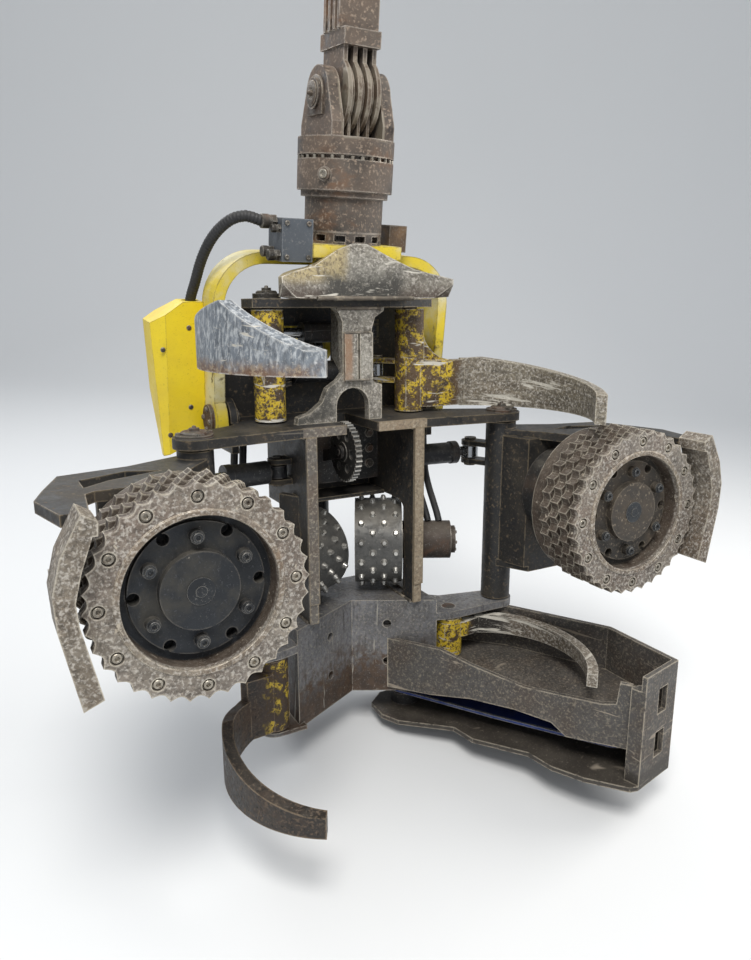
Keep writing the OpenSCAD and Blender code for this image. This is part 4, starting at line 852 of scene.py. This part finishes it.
def buildFeedDetail(side, body):
    face = headAxis(0, -1, 0)

    def at(depth):
        return headPoint(side * feedLook["axis"], depth, 0)

    screws = [ringOf("cleatScrews", capScrew(0.0102, 0.0112, 0.0130), at(feedLook["ringFace"]), face,
                     feedLook["screws"], feedLook["screwCircle"], "boltSteel", (1, 0, 0))]
    addPiece("cleatScrews" + body, screws, body, "boltSteel")
    hub = [ringOf("hubScrews", capScrew(0.0112, 0.0085, 0.0142), at(feedLook["hubFace"]), face,
                  feedLook["hubScrews"], feedLook["hubCircle"], "pinSteel", (1, 0, 0), 30),
           moved(lathe("centreCap", [(0.030, 0), (0.030, 0.002), (0.026, 0.0035), (0.012, 0.0035), (0.012, 0.0055),
                                     (0.009, 0.0062), (0.004, 0.0062), (0, 0.0046)]),
                 frameAt(at(feedLook["capFace"]), face))]
    addPiece("hubScrews" + body, hub, body, "hubGrey")
    rim = feedLook["rimRadius"]
    band = lathe("rimBand", [(rim, -0.004), (rim, 0.0024), (rim + 0.0015, 0.0036), (rim + 0.011, 0.0036),
                             (rim + 0.0135, 0.0016), (rim + 0.0145, -0.004)], 96, closed=True)
    addPiece("rimBand" + body, [moved(band, frameAt(at(0), face))], body, "rimSteel")


buildFeedDetail(-1, "feed_left")
buildFeedDetail(1, "feed_right")
print("feed rollers dressed")

# rotator: screws under the base, keepers and nipples on the brake pins
rotatorLook = {"baseScrews": 30, "baseCircle": 0.1275, "baseZ": -0.4402, "plugReach": 0.1412, "plugZ": -0.4795,
               "pinZ": -0.280, "earFace": 0.093, "headFace": 0.107, "keeperHalf": 0.046, "keeperFoot": -0.052}


def buildRotatorDetail():
    look = rotatorLook
    made = [ringOf("baseScrews", capScrew(0.0055, 0.0092), (0, 0, look["baseZ"]), (0, 0, 1), look["baseScrews"],
                   look["baseCircle"], "boltSteel")]
    away = Vector((-0.766, -0.643, 0))
    plug = away * look["plugReach"] + Vector((0, 0, look["plugZ"]))
    made.append(moved(capScrew(0.0115, 0.005), frameAt(plug, away)))
    addPiece("rotatorScrews", made, "rotator", "boltSteel")
    keepers = []
    half, foot = look["keeperHalf"], look["keeperFoot"]
    outline = [roundPoint(half, a) for a in range(0, 181, 12)] + [(-half, foot), (half, foot)]
    for side in (-1, 1):
        place = frameAt((side * look["earFace"], 0, look["pinZ"]), (side, 0, 0), (0, 1, 0))
        if (place.to_3x3() @ Vector((0, 1, 0))).z < 0:
            place = place @ Matrix.Rotation(math.pi, 4, "Z")
        keepers.append(moved(plateMesh("keeper", outline, 0.006), place))
        cap = lathe("pinCap", [(0.031, -0.001), (0.031, 0.0022), (0.028, 0.0036), (0.015, 0.0036), (0.013, 0.0018),
                               (0.008, 0.0018), (0.008, 0.008, 6), (0.0046, 0.009), (0.004, 0.0145), (0, 0.0155)])
        keepers.append(moved(cap, frameAt((side * look["headFace"], 0, look["pinZ"]), (side, 0, 0))))
    addPiece("pinKeepers", keepers, "rotator", "keeperSteel")


buildRotatorDetail()

# tilt joint: bolts on the pin heads, screws of the covers, fittings of the port block
tiltLook = {"pinY": 0.040, "pinZ": -1.1603, "headX": 0.394, "coverFace": 0.0952, "blockSide": -0.2252,
            "blockFace": -0.1001,
            "coverScrews": ((-0.425, -0.905), (-0.500, -0.965), (-0.425, -1.135), (-0.487, -1.215)),
            "fittings": ((-0.078, -0.690, 0.012), (-0.032, -0.683, 0.012), (-0.082, -0.622, 0.009)),
            "blockScrews": ((-0.150, -0.607), (-0.212, -0.607), (-0.150, -0.693), (-0.212, -0.693))}


def buildTiltDetail():
    look = tiltLook
    made = [ringOf("pinBolts", hexBolt(0.0075, 0.006, 0.009), (side * look["headX"], look["pinY"], look["pinZ"]),
                   (side, 0, 0), 4, 0.030, "pinSteel") for side in (-1, 1)]
    addPiece("tiltPinBolts", made, "tilt", "pinSteel")
    screws = [moved(lathe("coverScrew", [(0.0075, 0), (0.0072, 0.0014), (0.0048, 0.0032), (0, 0.0038)], 16),
                    frameAt((x, look["coverFace"], z), (0, -1, 0))) for x, z in look["coverScrews"]]
    addPiece("coverScrews", screws, "tilt", "pinSteel")
    block = [moved(hoseEnd(size), frameAt((look["blockSide"], y, z), (-1, 0, 0)))
             for y, z, size in look["fittings"]]
    block += [moved(capScrew(0.0065, 0.005), frameAt((x, look["blockFace"], z), (0, -1, 0)))
              for x, z in look["blockScrews"]]
    addPiece("portFittings", block, "tilt", "pinSteel")


buildTiltDetail()

# frame: hinge caps, weld beads and the plugs of the valve block
frameLook = {"armX": 495, "armY": 470, "upperX": 233, "upperY": 608, "deckTop": 250, "roofTop": 604,
             "motorFlange": 235, "motorEnd": 446, "plugFace": 686}


def hingeCap(radius):
    return lathe("hingeCap", [(radius, 0), (radius, 0.004), (radius - 0.004, 0.0077), (0.014, 0.0077),
                              (0.014, 0.0155, 6), (0.006, 0.0155), (0.0045, 0.021), (0, 0.022)])


def buildFrameDetail():
    up = headAxis(0, 0, 1)
    caps = []
    for side in (-1, 1):
        arm = headPoint(side * frameLook["armX"], frameLook["armY"], frameLook["deckTop"])
        knife = headPoint(side * frameLook["upperX"], frameLook["upperY"], frameLook["roofTop"])
        caps += [moved(hingeCap(0.036), frameAt(arm, up)), moved(hingeCap(0.030), frameAt(knife, up)),
                 ringOf("armCapBolts", hexBolt(0.0065, 0.006), arm, up, 4, 0.0425, "pinSteel")]
    for x in range(-130, 131, 52):
        for z in (70, 120, 170):
            if abs(x + 10) > 36:
                place = frameAt(headPoint(x, frameLook["plugFace"], z), headAxis(0, -1, 0))
                caps.append(moved(hexBolt(0.013, 0.010, 0.016), place))
    addPiece("hingeCaps", caps, "head", "pinSteel")
    beads = []
    for x in (-160, -192, 160, 192):
        for name, first, z in (("deckBead", 458, 214), ("bellyBead", 466, -339)):
            beads.append(bead(name, [headPoint(x, y, z) for y in range(first, 640, 20)], 0.005))
    for z in (495, 361):
        beads.append(bead("stripBead", [headPoint(x, 503.5, z) for x in range(-42, 48, 10)], 0.0035))
    beads.append(bead("roofBead", [headPoint(x, 513, 563) for x in range(-64, 88, 12)], 0.005))
    beads.append(bead("knifeBead", [headPoint(x, 462 - abs(x) * 0.10, 590) for x in range(-150, 151, 15)], 0.006))
    addPiece("weldBeads", beads, "head", "beadSteel", 60)


buildFrameDetail()
for side, name in ((-1, "arm_left"), (1, "arm_right")):
    near, far = (headPoint(side * feedLook["axis"], frameLook[key], 0) for key in ("motorFlange", "motorEnd"))
    out = headAxis(0, 1, 0)
    addPiece("motorBolts" + name, [
        ringOf("flangeBolts", hexBolt(0.009, 0.008, 0.0115), near, out, 10, 0.149, "pinSteel", (1, 0, 0), 18),
        ringOf("coverBolts", hexBolt(0.007, 0.006), far, out, 6, 0.042, "pinSteel")], name, "pinSteel")
for side, label in ((-1, "Left"), (1, "Right")):
    out = headAxis(*innerAxis(side))
    start = headPoint(side * innerLook["x"], innerLook["y"], innerLook["z"])
    addPiece("innerMotorBolts" + label, [
        ringOf("innerFlange", hexBolt(0.007, 0.006, 0.009), start + out * 0.1162, out, 8, 0.072, "pinSteel"),
        ringOf("innerEnd", capScrew(0.0055, 0.005), start + out * 0.252, out, 6, 0.034, "pinSteel")],
        "head", "pinSteel")
print("frame dressed")

# saw chain round the bar
chainLook = {"pivot": (205, 575, -690), "turn": -56.6, "reach": 740, "width": 104, "edge": 3, "links": 84}


def buildSawChain():
    half = chainLook["width"] / 2 - chainLook["edge"]
    tip = chainLook["reach"] - chainLook["width"] / 2

    def arc(centre, start):
        return [(centre + x, y) for x, y in (roundPoint(half, a) for a in range(start, start + 181, 10))]

    flank = [(tip - 120, half + 4), (tip / 2, half + 7), (60, half)]
    spots = arc(tip, -90) + flank + arc(0, 90) + [(x, -y) for x, y in reversed(flank)]
    shape = bmesh.new()
    for z in (-0.0052, 0.0036):
        plate = bmesh.ops.create_cube(shape, size=1.0)["verts"]
        bmesh.ops.scale(shape, vec=(0.0175, 0.0056, 0.0016), verts=plate)
        bmesh.ops.translate(shape, vec=(0, 0, z + 0.0008), verts=plate)
    for x in (-0.005, 0.005):
        rivet = bmesh.ops.create_cone(shape, cap_ends=True, segments=8, radius1=0.0019, radius2=0.0019,
                                      depth=0.0118)["verts"]
        bmesh.ops.translate(shape, vec=(x, 0, 0), verts=rivet)
    link = newObject("chainLink", toMesh("chainLink", shape))
    path = pathMesh("chainPath", [(x / 1000, y / 1000, 0) for x, y in spots], True)
    place = (Matrix.Translation(headPoint(*chainLook["pivot"])) @ inHead.to_3x3().to_4x4()
             @ Matrix.Rotation(math.radians(chainLook["turn"]), 4, "Z"))
    chain = runTree(patterns["chain"], "sawChain", path, {"Link": link, "Count": chainLook["links"],
                                                         "Material": finish["chainSteel"]}, place)
    bpy.data.objects.remove(link)
    addPiece("sawChain", [chain], "bar", "chainSteel")


buildSawChain()
print("saw chain laid")

# floor that sweeps up into a backdrop behind the object, and light
stageLook = {"floorZ": cadBounds[0][2] - 0.03, "color": "#dfe0e0", "half": 60.0, "front": -60.0, "back": 4.5,
             "sweep": 3.0, "height": 9.0}


def buildStage():
    material, _, shader = newMaterial("paleFloor")
    shader.inputs["Base Color"].default_value = rgb(stageLook["color"])
    shader.inputs["Roughness"].default_value = 0.9
    sweep, back, low = stageLook["sweep"], stageLook["back"], stageLook["floorZ"]
    profile = [(stageLook["front"], low)]
    profile += [(back + sweep * math.sin(math.radians(a)), low + sweep * (1 - math.cos(math.radians(a))))
                for a in range(0, 91, 6)]
    profile.append((back + sweep, low + stageLook["height"]))
    side = stageLook["half"]
    points = [(x, y, z) for y, z in profile for x in (-side, side)]
    faces = [(2 * i, 2 * i + 1, 2 * i + 3, 2 * i + 2) for i in range(len(profile) - 1)]
    mesh = bpy.data.meshes.new("floor")
    mesh.from_pydata(points, [], faces)
    mesh.polygons.foreach_set("use_smooth", [True] * len(faces))
    heading = math.atan2(-forward.x, forward.y)
    mesh.transform(Matrix.Rotation(heading, 4, "Z"))
    mesh.materials.append(material)
    newObject("floor", mesh)


def addLamp(name, place, aim, power, size, color):
    data = bpy.data.lights.new(name, "AREA")
    data.energy = power
    data.size = size
    data.color = color
    lamp = newObject(name, data)
    lamp.location = place
    lamp.rotation_euler = (Vector(aim) - Vector(place)).to_track_quat("-Z", "Y").to_euler()


buildStage()
lamps = {"sky": ((-1.5, -2.5, 3.0), (0, -0.4, -1.2), 230, 2.0, (1, 0.98, 0.95)),
         "side": ((3.2, -1.0, 0.6), (0, -0.3, -1.2), 70, 2.0, (1, 0.97, 0.93)),
         "back": ((-1.0, 3.0, 1.5), (0, 0, -1.2), 60, 2.5, (0.95, 0.97, 1))}
for name, lamp in lamps.items():
    addLamp(name, *lamp)
worldLook = {"light": (0.86, 0.9, 0.96, 1), "strength": 0.6, "distance": "#e2e3e4"}
world = bpy.data.worlds.new("paleSky")
scene.world = world
world.use_nodes = True
worldTree = world.node_tree
background = worldTree.nodes["Background"]
background.inputs["Color"].default_value = worldLook["light"]
background.inputs["Strength"].default_value = worldLook["strength"]
distance = wired(worldTree, "ShaderNodeBackground", {"Color": rgb(worldLook["distance"])})
rays = addNode(worldTree, "ShaderNodeLightPath")
seen = wired(worldTree, "ShaderNodeMixShader", {"Fac": rays.outputs["Is Camera Ray"], 1: background.outputs[0],
                                                2: distance.outputs[0]})
put(worldTree, seen.outputs[0], worldTree.nodes["World Output"].inputs["Surface"])
print("stage and light")

scene.view_settings.view_transform = "Standard"
